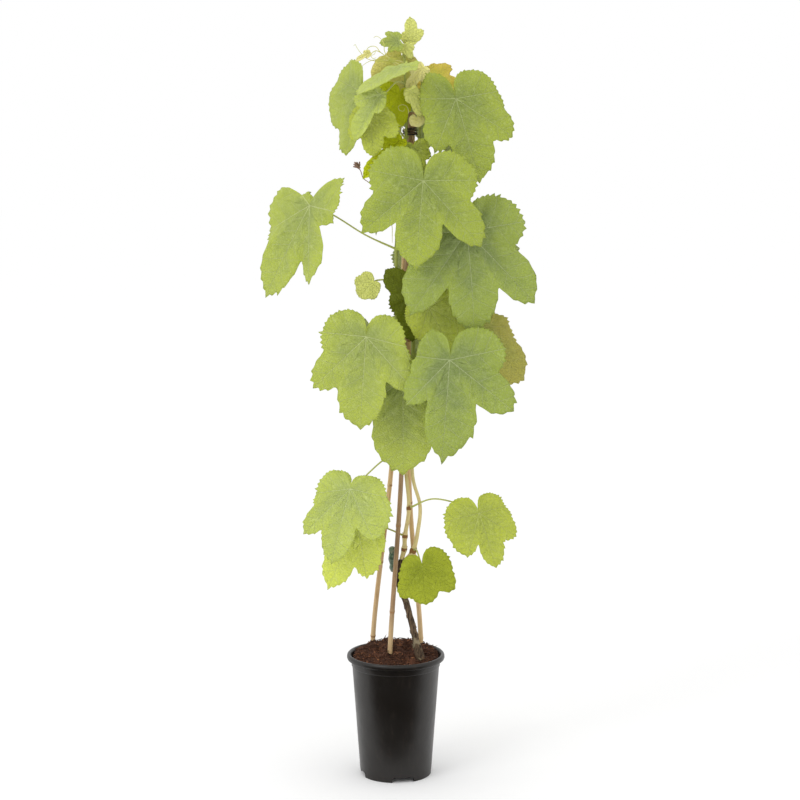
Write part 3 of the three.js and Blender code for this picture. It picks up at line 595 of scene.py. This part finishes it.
CANE_JOINTS = {
    "cane_left": (205, 324, 446, 572, 701, 833, 968),
    "cane_middle": (258, 391, 522, 657, 795, 934),
    "cane_right": (203, 306, 420, 543, 672, 805, 941),
}
for name, row in CANES.items():
    bm = bmesh.new()
    joints = CANE_JOINTS[name]

    def culm_swell(share, place, joints=joints):
        height = place.z / MM
        ridge = sum(0.16 * math.exp(-((height - joint) / 1.8) ** 2) for joint in joints)
        groove = sum(0.07 * math.exp(-((height - joint + 4) / 1.5) ** 2) for joint in joints)
        return 1 + ridge - groove

    radii = (CANE_RADIUS + 0.3, CANE_RADIUS - 0.35)
    limb(bm, smooth_path(cane_path(**row), 330), radii, 16, culm_swell)
    for face in bm.faces:
        height = face.calc_center_median().z / MM
        if any(-1.9 < height - joint < 0.3 for joint in joints):
            face.material_index = 1
    bamboo = bamboo_brown if name == "cane_middle" else bamboo_pale
    finish_piece(bm, name + "_culm", [bamboo, joint_scar], [name])
print("canes made:", len(CANES))

# %% [markdown]
# ## The ties
#
# Soft black tying tube, wound four times round the bundle and pulled tight. Each tie is one long limb
# that follows a screw line; the bundle is not round, so the line bulges where a cane or a shoot presses
# from inside.

# %% Ties
TIE_WINDS = 4
WIND_STEPS = 16
TIE_HEIGHT = 9
tube = speckled("tying_tube_soft_black", 0.6, 1.5, "#1c1511", "#4f3c2c", 300, crisp=True)

for name, height in TIES.items():
    share = (height - BUNDLE_LOW[2]) / (BUNDLE_HIGH[2] - BUNDLE_LOW[2])
    centre = [low + (high - low) * share for low, high in zip(BUNDLE_LOW, BUNDLE_HIGH)]
    line = []
    for step in range(TIE_WINDS * WIND_STEPS + 1):
        turn = step * math.tau / WIND_STEPS
        bulge = 10.0 + 0.5 * math.cos(3 * (turn - math.radians(30))) + 0.3 * math.sin(turn * 1.7)
        climb = (step / (TIE_WINDS * WIND_STEPS) - 0.5) * TIE_HEIGHT
        rise = centre[2] + climb + 1.3 * math.sin(turn * 0.83)
        line.append((centre[0] + bulge * math.cos(turn), centre[1] + bulge * math.sin(turn), rise))
    bm = bmesh.new()
    limb(bm, smooth_path(line, 260), (1.2, 1.2), 8)
    finish_piece(bm, name + "_windings", [tube], [name])

# %% [markdown]
# ## The trunk and the pruned stub
#
# The woody part is two years old. Its bark is grey-brown and comes away in long strips, so the mesh
# carries ridges that run along the stem, broken at random, and a few lifted flakes catch the light. The
# stub beside the head is where the rootstock was cut back; it was dipped in dark green grafting wax,
# which is smooth, runs down in thick drops and has a soft shine.

# %% Trunk
bark, tree, surface = new_material("vine_bark_peeling", 0.9, 1.4)
strip = grain(tree, 380, stretch=(1, 1, 0.12), detail=6, roughness=0.65)
lichen = grain(tree, 55, detail=3)
wood = mixed(tree, band(tree, strip, 0.36, 0.68), linear("#2a1f17"), linear("#77624b"))
wood = mixed(tree, band(tree, lichen, 0.54, 0.66, 0, 0.7), wood, linear("#a39679"))
paint(tree, surface, wood, strip, 0.0012)


def roughen(rings, places, depth, along, around, seed):
    """Ridges that run along a limb: each ring's corners move in or out by noise, in mm."""
    for ring, place in zip(rings, places):
        for vertex in ring:
            aside = (vertex.co - place).normalized()
            spot = (aside.x * around, aside.y * around + seed, place.z * along + aside.z)
            finer = [value * 2.3 for value in spot]
            vertex.co += aside * depth * MM * (noise.noise(spot) + 0.5 * noise.noise(finer))


BARK_FLAKES = 26
TRUNK_STEPS = 150
trunk_places = smooth_path(TRUNK["path"], TRUNK_STEPS)
bm = bmesh.new()
trunk_rings = limb(bm, trunk_places, TRUNK["radii"], 48)
roughen(trunk_rings, trunk_places, 1.0, 55, 3.4, 2.0)
chance = random.Random(5)
for _ in range(BARK_FLAKES):
    start = chance.randrange(14, 128)
    heading = chance.uniform(0, math.tau)
    length = chance.randrange(4, 12)
    side = Vector((math.cos(heading), math.sin(heading), 0))
    radius = between(TRUNK["radii"], start / TRUNK_STEPS) + 0.5
    flake = [place + side * MM * (radius + 0.25 * (abs(step - length / 2) ** 1.2))
             for step, place in enumerate(trunk_places[start:start + length])]
    if len(flake) > 3:
        limb(bm, flake, (0.15, 0.8, 0.15), 5)
finish_piece(bm, "trunk_bark", [bark], ["trunk"])

wax, tree, surface = new_material("grafting_wax_green", 0.38, 1.45)
bloom = grain(tree, 240, detail=5)
coat = mixed(tree, band(tree, bloom, 0.4, 0.7), linear("#42594a"), linear("#7f9280"))
coat = mixed(tree, band(tree, grain(tree, 90), 0.5, 0.64, 0, 0.75), coat, linear("#8b8b74"))
paint(tree, surface, coat, bloom, 0.0009)
stub_places = smooth_path(STUB["path"], 60)


def stub_swell(share, place):
    """Lumps where the wax ran and set, a thick lower rim, and a rounded top."""
    lumps = 0.1 * math.sin(share * 15) + 0.16 * math.exp(-((share - 0.16) / 0.07) ** 2)
    top = math.sqrt(max(1 - max((share - 0.86) / 0.145, 0) ** 2, 0.02))
    return (1 + lumps) * top


bm = bmesh.new()
stub_rings = limb(bm, stub_places, STUB["radii"], 32, stub_swell)
roughen(stub_rings, stub_places, 0.9, 60, 1.6, 5.0)
finish_piece(bm, "stub_wax", [wax], ["graft_stub"])

# %% [markdown]
# ## The shoots
#
# This year's shoots leave the head straw-brown and turn green higher up. They thicken at every node,
# where a stalk leaves. A node also carries a small pointed bud on the side of the stalk.

# %% Shoots
def skin_of_shoot():
    """Green bark that is straw-brown and ribbed low down."""
    material, tree, surface = new_material("young_shoot_skin", 0.5, 1.42)
    rib = grain(tree, 1100, stretch=(1, 1, 0.05), detail=3)
    green = mixed(tree, rib, linear("#8a9640"), linear("#b0b55e"))
    straw = mixed(tree, rib, linear("#cbb26e"), linear("#eadca6"))
    ripeness = band(tree, height_above_ground(tree), 0.40, 0.62)
    paint(tree, surface, mixed(tree, ripeness, straw, green), rib, 0.0003)
    return material


shoot_skin = skin_of_shoot()
node_skin = speckled("node_brown_scale", 0.7, 1.4, "#6e4526", "#a5793f", 400)

BROWN_BELOW = 480
shoot_lines = {}
for side, row in SHOOTS.items():
    heights = [leaf["node"] for leaf in LEAVES.values() if leaf["shoot"] == side]
    heights.append(352 if side == "left" else 349)
    places = smooth_path(row["path"], 300)
    shoot_lines[side] = places
    bm = bmesh.new()
    limb(bm, places, row["radii"], 14, nodes_at(heights, 0.42, 4.5))
    for number, height in enumerate(sorted(heights)):
        spot = min(places, key=lambda place: abs(place.z / MM - height))
        heading = number * 2.4
        aside = Vector((math.cos(heading), math.sin(heading), 0))
        bud = [spot + aside * MM * (1.8 + 0.8 * step) + Vector((0, 0, step * 1.3 * MM)) for step in range(5)]
        limb(bm, bud, (1.3, 1.5, 1.2, 0.25), 8, material_index=int(height < BROWN_BELOW))
    for face in bm.faces:
        height = face.calc_center_median().z / MM
        if height < BROWN_BELOW and any(abs(height - spot) < 2.6 for spot in heights):
            face.material_index = 1
    finish_piece(bm, f"shoot_{side}_stem", [shoot_skin, node_skin], [f"shoot_{side}"])
print("shoots made:", len(shoot_lines))

# %% [markdown]
# ## The leaves: finishes
#
# A vine leaf has five main veins that fan out from the stalk, and side veins that leave them at a slant.
# Each blade carries its own map for this: how far a point lies along its nearest main vein and how far
# aside of it, both as shares of the leaf's length. The veins are then plain arithmetic on that map, so
# they stay sharp at any distance and always run to the tips of the lobes.

# %% Leaf finishes
SIDE_SLANT = 0.84
SIDE_SPACING = 0.15


def leaf_finish(name, face, rim, vein, under=False):
    """A leaf's upper or lower skin: blade colour, a lighter rim and pale veins."""
    material, tree, surface = new_material(name, 0.62 if under else 0.5, 1.42)
    veins = add(tree, "ShaderNodeUVMap", uv_map="veins").outputs["UV"]
    split = add(tree, "ShaderNodeSeparateXYZ", {"Vector": veins})
    along, aside = split.outputs["X"], split.outputs["Y"]
    apart = mathnode(tree, "ABSOLUTE", aside)
    half_width = mathnode(tree, "MAXIMUM", mathnode(tree, "MULTIPLY_ADD", along, -0.006, 0.0072), 0.002)
    main = band(tree, mathnode(tree, "DIVIDE", apart, half_width), 0.35, 1.1, 1, 0)
    slanted = mathnode(tree, "MULTIPLY_ADD", apart, -SIDE_SLANT, along)
    curved = mathnode(tree, "MULTIPLY_ADD", mathnode(tree, "MULTIPLY", apart, apart), 0.9, slanted)
    wander = mathnode(tree, "MULTIPLY_ADD", grain(tree, 34, detail=1), 0.05, curved)
    shifted = mathnode(tree, "MULTIPLY_ADD", mathnode(tree, "GREATER_THAN", aside, 0.0), 0.5,
                       mathnode(tree, "DIVIDE", wander, SIDE_SPACING))
    beside = mathnode(tree, "PINGPONG", shifted, 0.5)
    began = band(tree, slanted, 0.05, 0.09)
    side = mathnode(tree, "MULTIPLY", band(tree, beside, 0.01, 0.045, 1, 0), began)
    coordinates = add(tree, "ShaderNodeTexCoord").outputs["Object"]
    cells = add(tree, "ShaderNodeTexVoronoi", {"Vector": coordinates, "Scale": 240.0, "Randomness": 1.0},
                feature="DISTANCE_TO_EDGE").outputs["Distance"]
    net = band(tree, cells, 0.02, 0.14, 1, 0)
    rim_map = add(tree, "ShaderNodeUVMap", uv_map="rim").outputs["UV"]
    rim_split = add(tree, "ShaderNodeSeparateXYZ", {"Vector": rim_map})
    share, inward = rim_split.outputs["X"], rim_split.outputs["Y"]
    patch = grain(tree, 42, detail=3)
    mottle = grain(tree, 330, detail=4)
    zone = mathnode(tree, "MULTIPLY_ADD", patch, 1.3, share)
    blade_colour = mixed(tree, band(tree, zone, 0.7, 1.7, 0, 0.85), linear(face), linear(rim))
    for share, tint in (
        (band(tree, mottle, 0.42, 0.72, 0, 0.17), vein),
        (band(tree, inward, 0.0, 0.32, 0.4, 0.0), rim),
        (band(tree, inward, 0.0, 0.035, 0.9, 0.0), rim),
        (mathnode(tree, "MULTIPLY", net, 0.17), vein),
        (mathnode(tree, "MULTIPLY", side, 0.3), vein),
        (mathnode(tree, "MULTIPLY", main, 0.55), vein),
    ):
        blade_colour = mixed(tree, share, blade_colour, linear(tint))
    pillow = mathnode(tree, "MULTIPLY_ADD", side, -0.35, mathnode(tree, "MULTIPLY", main, -0.3))
    height = mathnode(tree, "MULTIPLY_ADD", net, -0.35, pillow)
    height = mathnode(tree, "MULTIPLY", height, -1.0 if under else 1.0)
    paint(tree, surface, blade_colour, height, 0.0015)
    surface.inputs["Specular IOR Level"].default_value = 0.2 if under else 0.28
    return material


SKINS = {
    "full": ("#849442", "#a3b23d", "#c7d195"),
    "grey": ("#7e8f4c", "#9cad44", "#c2cc98"),
    "mid": ("#94a352", "#afbd47", "#d0d89c"),
    # painted light: a lighter green for leaves that lie in shade here
    "painted_light_green": ("#a5b246", "#b9c542", "#d7dd92"),
    "pale": ("#aab963", "#bcca56", "#d9e3a8"),
    # painted light: a lighter skin for a leaf that lies in the shade of another here
    "painted_light_lime": ("#cbd75c", "#d4e057", "#eaf1a9"),
    "bright": ("#88941c", "#a1ac26", "#b9c252"),
    # painted shade: a dark skin for the leaf that lies in shade behind the others
    "painted_shade_olive": ("#566000", "#667104", "#828b2a"),
    # painted light: a vivid skin that lightens leaves lying in shade here
    "painted_light_vivid": ("#b5bf00", "#c4ce0c", "#d3d938"),
    "brownish": ("#9a9e48", "#aca648", "#c0bd79"),
    "yellow": ("#d3d96f", "#dce077", "#ebeeaa"),
    "cream": ("#e6e084", "#ece694", "#f2ecb2"),
    "young": ("#c4c656", "#d1c869", "#e6de92"),
    "bronze": ("#ced04b", "#d8c04b", "#e9de83"),
}
upper_skin = {name: leaf_finish(f"vine_leaf_{name}_upper", *colours) for name, colours in SKINS.items()}
under_green = leaf_finish("vine_leaf_downy_underside", "#a3af72", "#b2bc7c", "#c9d09c", under=True)
under_cream = leaf_finish("vine_leaf_cream_underside", "#cdc795", "#d6cea0", "#e2dcb8", under=True)
stalk_skin = speckled("leaf_stalk_smooth", 0.45, 1.42, "#a3ab4c", "#c6c979", 700, stretch=(1, 1, 0.1))
print("leaf finishes:", len(upper_skin) + 2)

# %% [markdown]
# ## The leaves: shape
#
# Each blade starts as a spoke of points that is spun once round, which gives rings and columns. Every
# point then moves from that plain disc to its place on the leaf. The spin's columns are shared out so
# that five of them fall exactly on the main veins and reach the tips of the lobes. On the way the blade
# gains what a flat outline lacks: teeth on the rim, a crease along each vein, quilted skin between the
# side veins, and a slow wave that grows towards the edge.

# %% Leaf shape
VEIN_TURNS = (-180, -96, -48, 0, 48, 96, 180)
HEART = 0.06
LOBE_CURVE = 1.8
LOBE_POINT = 0.1


def headings(leaf):
    """The leaf's own headings for the five main veins, between the two sides of the stalk's notch."""
    return (-180, leaf["base"][0], leaf["sides"][0], 0, leaf["sides"][2], leaf["base"][2], 180)


def heading_at(leaf, turn):
    """The heading on the leaf for a column of the spin, both in degrees."""
    own = headings(leaf)
    for number in range(6):
        if turn <= VEIN_TURNS[number + 1]:
            break
    share = (turn - VEIN_TURNS[number]) / (VEIN_TURNS[number + 1] - VEIN_TURNS[number])
    return own[number] + (own[number + 1] - own[number]) * share


def nearest_vein(leaf, turn):
    """The heading of the main vein whose sector a column belongs to."""
    own = headings(leaf)
    number = min(range(1, 6), key=lambda number: abs(turn - VEIN_TURNS[number]))
    return own[number]


def full_reach(leaf, heading):
    """The outline: how far the blade reaches at a heading, as a share of its length.

    The margin rounds off from a lobe into the notch, and is drawn in beside the tip, which leaves a point.
    """
    left, left_reach, right, right_reach = leaf["sides"]
    left_base, left_base_reach, right_base, right_base_reach = leaf["base"]
    keys = ((-180, HEART), ((left_base - 200) / 2, leaf["ears"][0]), (left_base, left_base_reach),
            ((left_base + left) / 2, leaf["waist"][0]), (left, left_reach), (left * 0.62, leaf["sinus"][0]),
            (0, 1), (right * 0.62, leaf["sinus"][1]), (right, right_reach),
            ((right_base + right) / 2, leaf["waist"][1]), (right_base, right_base_reach),
            ((right_base + 200) / 2, leaf["ears"][1]), (180, HEART))
    for (start, start_reach), (end, end_reach) in zip(keys, keys[1:]):
        if heading <= end:
            break
    share = (heading - start) / (end - start)
    towards_notch = share if start_reach > end_reach else 1 - share
    low = min(start_reach, end_reach)
    drawn_in = LOBE_POINT * min(towards_notch / 0.2, 1) * (1 - towards_notch)
    return low + abs(start_reach - end_reach) * (1 - towards_notch ** LOBE_CURVE - drawn_in)


def blade_frame(leaf):
    """The blade's own directions: out of its upper side, along the main vein, and to the right."""
    face, nod, spin = (math.radians(leaf[key]) for key in ("face", "nod", "spin"))
    ahead = Vector((math.sin(face), -math.cos(face), 0))
    up = Vector((0, 0, 1))
    across = Vector((math.cos(face), math.sin(face), 0))
    out = ahead * math.cos(nod) + up * math.sin(nod)
    down = ahead * math.sin(nod) - up * math.cos(nod)
    return (out, down * math.cos(spin) + across * math.sin(spin),
            across * math.cos(spin) - down * math.sin(spin))


def blade_stand(leaf, heading, reach, along, aside, share, phase):
    """How far a point stands off the blade's flat plane, in mm."""
    ahead = max(0.0, reach * math.cos(heading))
    beside = reach * abs(math.sin(heading))
    stand = leaf["fold"] * beside - leaf["dome"] * reach ** 2 - leaf["droop"] * ahead ** 3
    crease = 0.13 * min(abs(aside), 0.17) * (1 - 0.5 * share)
    chevron = (along - SIDE_SLANT * abs(aside) + 0.9 * aside ** 2) / SIDE_SPACING + (0.5 if aside > 0 else 0)
    pillow = abs(math.sin(math.pi * chevron)) * min(abs(aside) / 0.05, 1) * (1 - share ** 4)
    wave = math.sin(heading * 5 + phase) + 0.6 * math.sin(heading * 11 + phase * 2)
    return leaf["long"] * (stand + crease + 0.018 * pillow + 0.026 * wave * share ** 2)


def blade(bm, leaf, columns, rings, chance):
    """Spins a spoke into a disc, then moves it on to the leaf and writes the two maps."""
    start = len(bm.verts)
    spoke = [bmesh.ops.create_vert(bm, co=(ring / rings, 0, 0))["vert"][0] for ring in range(rings + 1)]
    edges = [bmesh.ops.contextual_create(bm, geom=[a, b])["edges"][0] for a, b in zip(spoke, spoke[1:])]
    bmesh.ops.spin(bm, geom=spoke + edges, cent=(0, 0, 0), axis=(0, 0, 1), angle=math.tau, steps=columns,
                   use_merge=True)
    bmesh.ops.remove_doubles(bm, verts=bm.verts, dist=1e-5)
    bm.normal_update()
    turned_down = [face for face in bm.faces if face.normal.z < 0]
    bmesh.ops.reverse_faces(bm, faces=turned_down)
    veins = bm.loops.layers.uv.new("veins")
    rim = bm.loops.layers.uv.new("rim")
    out, tip, right = blade_frame(leaf)
    middle = Vector(leaf["at"])
    phase = chance.uniform(0, 6)
    teeth = [chance.uniform(0.25, 1.15) * (1.7 if chance.random() < 0.25 else 1)
             for _ in range(columns // 4 + 1)]
    flat = {}
    for vertex in bm.verts:
        share = min(vertex.co.length, 1.0)
        turn = math.degrees(math.atan2(vertex.co.y, vertex.co.x))
        heading = math.radians(heading_at(leaf, turn))
        full = full_reach(leaf, math.degrees(heading))
        column = round(turn * columns / 360)
        step = (column % 4 + 4) % 4
        tooth = (1.0, 0.55, 0.0, 0.4)[step] * teeth[column // 4]
        notched = 0.034 * (tooth - 0.4) * min(full * 1.6, 1) * share ** 9
        reach = full * share + (notched if full > 2 * HEART else 0)
        flat[vertex] = (share, turn, heading, reach, full)
    for face in bm.faces:
        centre = face.calc_center_median()
        vein = math.radians(nearest_vein(leaf, math.degrees(math.atan2(centre.y, centre.x))))
        for loop in face.loops:
            share, turn, heading, reach, full = flat[loop.vert]
            loop[veins].uv = (reach * math.cos(heading - vein), reach * math.sin(heading - vein))
            loop[rim].uv = (share, full * (1 - share))
    for vertex, (share, turn, heading, reach, full) in flat.items():
        vein = math.radians(nearest_vein(leaf, turn))
        along, aside = reach * math.cos(heading - vein), reach * math.sin(heading - vein)
        stand = blade_stand(leaf, heading, reach, along, aside, share, phase)
        aim = tip * math.cos(heading) + right * math.sin(heading)
        vertex.co = (middle + aim * (leaf["long"] * reach) + out * stand) * MM


def stalk_path(leaf):
    """The stalk leaves the shoot, arches over and meets the blade from behind; in mm."""
    line = shoot_lines[leaf["shoot"]]
    start = min(line, key=lambda place: abs(place.z / MM - leaf["node"])) / MM
    end = Vector(leaf["at"])
    out = blade_frame(leaf)[0]
    early = start.lerp(end, 0.35) + Vector((0, -leaf["bow"], leaf["lift"]))
    late = (end - out * (0.2 * (end - start).length)).lerp(early, 0.2) + Vector((0, 0, leaf["lift"] * 0.3))
    return [start, early, late, end - out * 0.6]


def thicken(piece, thickness):
    """Gives a blade its thickness, in mm, with the next material on the far side."""
    wall = piece.modifiers.new("thickness", "SOLIDIFY")
    wall.thickness = thickness * MM
    wall.offset = -1.0
    wall.material_offset = 1


LARGE_LEAF = 60
BLADE_THICKNESS = 0.35
STALK_RADII = (1.75, 1.25, 1.2, 1.2, 1.35)
made_faces = 0
for number, (name, leaf) in enumerate(LEAVES.items()):
    columns, rings = (240, 20) if leaf["long"] >= LARGE_LEAF else (144, 10)
    under, slot = (under_cream, "young_leaf") if leaf["young"] else (under_green, "leaf")
    bm = bmesh.new()
    blade(bm, leaf, columns, rings, random.Random(100 + number))
    piece = finish_piece(bm, name + "_blade", [upper_skin[leaf["skin"]], under, stalk_skin], [name])
    thicken(piece, BLADE_THICKNESS)
    bm = bmesh.new()
    limb(bm, smooth_path(stalk_path(leaf), 48), STALK_RADII, 10)
    stalk = finish_piece(bm, name + "_stalk", [stalk_skin])
    made_faces += len(piece.data.polygons) * 2 + len(stalk.data.polygons)
print("faces in the leaves:", made_faces)

# %% [markdown]
# ## Tendrils and small growth
#
# A vine holds on with tendrils, forked threads that curl once they touch something. They are about a
# millimetre thick, so each is a fine tapering limb. Near them stand a dried flower cluster on its brown
# stem and three leaflets that have hardly opened.

# %% Tendrils
TENDRILS = (
    ((14, -9, 1083), (10, -12, 1087), (-7, -20, 1090), (-25, -30, 1088), (-40, -34, 1091), (-50, -36, 1099),
     (-56, -36, 1107), (-59, -34, 1112), (-61, -33, 1110)),
    ((14, -9, 1072), (-5, -22, 1087), (-16, -28, 1102), (-17, -30, 1113), (-21, -30, 1120), (-28, -30, 1124),
     (-32, -30, 1122)),
    ((14, -10, 1078), (-10, -22, 1093), (-22, -30, 1101), (-29, -32, 1109), (-37, -34, 1109),
     (-42, -36, 1104), (-38, -38, 1097), (-31, -38, 1098), (-29, -36, 1104)),
    ((14, -12, 1081), (-16, -26, 1090), (-31, -34, 1090), (-42, -36, 1086), (-50, -36, 1081),
     (-51, -36, 1084)),
    ((-22, -30, 1101), (-28, -34, 1103), (-33, -36, 1101), (-36, -38, 1096), (-33, -40, 1092),
     (-28, -38, 1093)),
    ((16, -14, 1006), (19, -26, 1015), (16, -30, 1023), (9, -32, 1025), (4, -32, 1022), (6, -30, 1017),
     (12, -28, 1016), (13, -27, 1020)),
    ((15, -15, 985), (9, -24, 993), (1, -28, 997), (-5, -30, 997), (-7, -30, 994)),
    ((2, -12, 862), (-5, -16, 856), (-5, -18, 841), (-5, -17, 821)),
)
TENDRIL_RADII = (0.75, 0.6, 0.5, 0.3)
thread = speckled("tendril_waxy_thread", 0.45, 1.42, "#bcc25e", "#dad48c", 90, crisp=True)
bm = bmesh.new()
for line in TENDRILS:
    limb(bm, smooth_path(line, 110), TENDRIL_RADII, 8)
finish_piece(bm, "tendrils_crown", [thread])

dried = speckled("flower_cluster_dried", 0.85, 1.4, "#6b4c3c", "#a08472", 500)
DRIED_FLOWERS = 16
CLUSTER_STEM = ((6, -12, 874), (-14, -12, 880), (-28, -12, 891), (-31, -12, 901), (-39, -11, 910),
                (-48, -10, 917), (-52, -10, 928), (-56, -10, 933))
bm = bmesh.new()
limb(bm, smooth_path(CLUSTER_STEM, 90), (0.8, 0.7, 0.6, 0.6), 8)
chance = random.Random(3)
for _ in range(DRIED_FLOWERS):
    tip = Vector((-57 + chance.uniform(-6, 6), -10 + chance.uniform(-6, 6), 936 + chance.uniform(-5, 6)))
    root = Vector((-54, -10, 930))
    limb(bm, smooth_path((root, root.lerp(tip, 0.5) + Vector((0, 0, 1)), tip), 8), (0.4, 0.4, 1.3, 0.9), 8)
finish_piece(bm, "flower_cluster_dried", [dried])

LEAFLETS = {
    # The round leaflet's cream skin is painted light: it lies in shade here, so it has a lighter skin than
    # its own.
    "leaflet_round": dict(at=(31, -36, 1004), long=13, nod=34, spin=8, sides=(-50, 1, 50, 1),
                          sinus=(0.95, 0.95), waist=(0.9, 0.9), base=(-110, 0.9, 110, 0.9),
                          ears=(0.8, 0.8), skin="cream"),
    "leaflet_top": dict(at=(15, -12, 1111), long=22, nod=-6, spin=24, sides=(-40, 0.6, 40, 0.6),
                        base=(-95, 0.4, 95, 0.3), ears=(0.2, 0.2), skin="yellow"),
    "leaflet_curl_left": dict(at=(-38, -36, 1100), long=24, nod=20, spin=-60, sides=(-35, 0.4, 35, 0.4),
                              sinus=(0.35, 0.35), waist=(0.25, 0.25), base=(-95, 0.2, 95, 0.2),
                              ears=(0.1, 0.1), fold=0.3, skin="cream"),
}
for number, (name, row) in enumerate(LEAFLETS.items()):
    leaf = {**ORDINARY, **row}
    bm = bmesh.new()
    blade(bm, leaf, 96, 8, random.Random(300 + number))
    piece = finish_piece(bm, name, [upper_skin[leaf["skin"]], under_cream])
    thicken(piece, 0.3)

# %% [markdown]
# ## Studio
#
# White paper and soft light from everywhere, with one broad lamp from the upper left in front. The even
# light keeps the leaves' own colours, and the lamp gives each blade a light side. The plant stands on the
# paper with a faint shadow and no horizon.
#
# A dark card lies on the paper in front. Black plastic mirrors what is before it, so the card lets the
# pot go black in the middle while the white room still lights its sides. Only mirrored light meets the
# card: it takes no light from the leaves, casts no shadow and is not seen itself.

# %% Studio
def studio_sheet(name, matrix, finish, colour, roughness, shine):
    """A flat sheet of the studio; a matrix gives its place and half its size."""
    material, tree, surface = new_material(finish, roughness, 1.4)
    surface.inputs["Base Color"].default_value = linear(colour)
    surface.inputs["Specular IOR Level"].default_value = shine
    bm = bmesh.new()
    bmesh.ops.create_grid(bm, x_segments=2, y_segments=2, size=1.0, matrix=matrix)
    sheet = mesh_object(bm, name, [material])
    return sheet


studio_sheet("studio_floor", Matrix.Diagonal((14, 14, 1, 1)), "studio_paper_white", "#ffffff", 0.9, 0.0)
card_matrix = Matrix.Translation((0, -1.66, 0.004)) @ Matrix.Diagonal((1.5, 1.54, 1, 1))
card = studio_sheet("studio_card", card_matrix, "studio_card_black", "#0b0b0b", 0.95, 0.5)
card.visible_camera = False
card.visible_diffuse = False
card.visible_shadow = False

world = bpy.data.worlds.new("studio_white")
world.use_nodes = True
world.node_tree.nodes["Background"].inputs["Color"].default_value = linear("#ffffff")
world.node_tree.nodes["Background"].inputs["Strength"].default_value = 1.0
bpy.context.scene.world = world

# %% [markdown]
# ### Lamp and camera
#
# The lamp is a square with soft edges to its shadows, turned so that it looks at the middle of the plant.
# The camera stands a little over three metres away and looks slightly down.

# %% Lamp and camera
LAMP_PLACE = Vector((-1.7, -1.8, 2.4))
LAMP_TARGET = Vector((0, 0, 0.65))
softbox_data = bpy.data.lights.new("key_softbox", "AREA")
softbox_data.size = 1.2
softbox_data.energy = 16
softbox = new_object("key_softbox", softbox_data)
softbox.location = LAMP_PLACE
softbox.rotation_euler = (LAMP_TARGET - LAMP_PLACE).to_track_quat("-Z", "Y").to_euler()

CAMERA_PLACE = (0.0065, -3.2, 1.06)
CAMERA_LOOKS_DOWN = 8.48
camera_data = bpy.data.cameras.new("camera")
camera_data.lens = 96.4
camera_data.sensor_width = 36
camera = new_object("camera", camera_data)
camera.location = CAMERA_PLACE
camera.rotation_euler = (math.radians(90 - CAMERA_LOOKS_DOWN), 0, 0)
bpy.context.scene.camera = camera
bpy.context.scene.view_settings.view_transform = "Standard"

# %% [markdown]
# ## Finish
#
# The last line brings the scene up to date.

# %% Finish
bpy.context.view_layer.update()
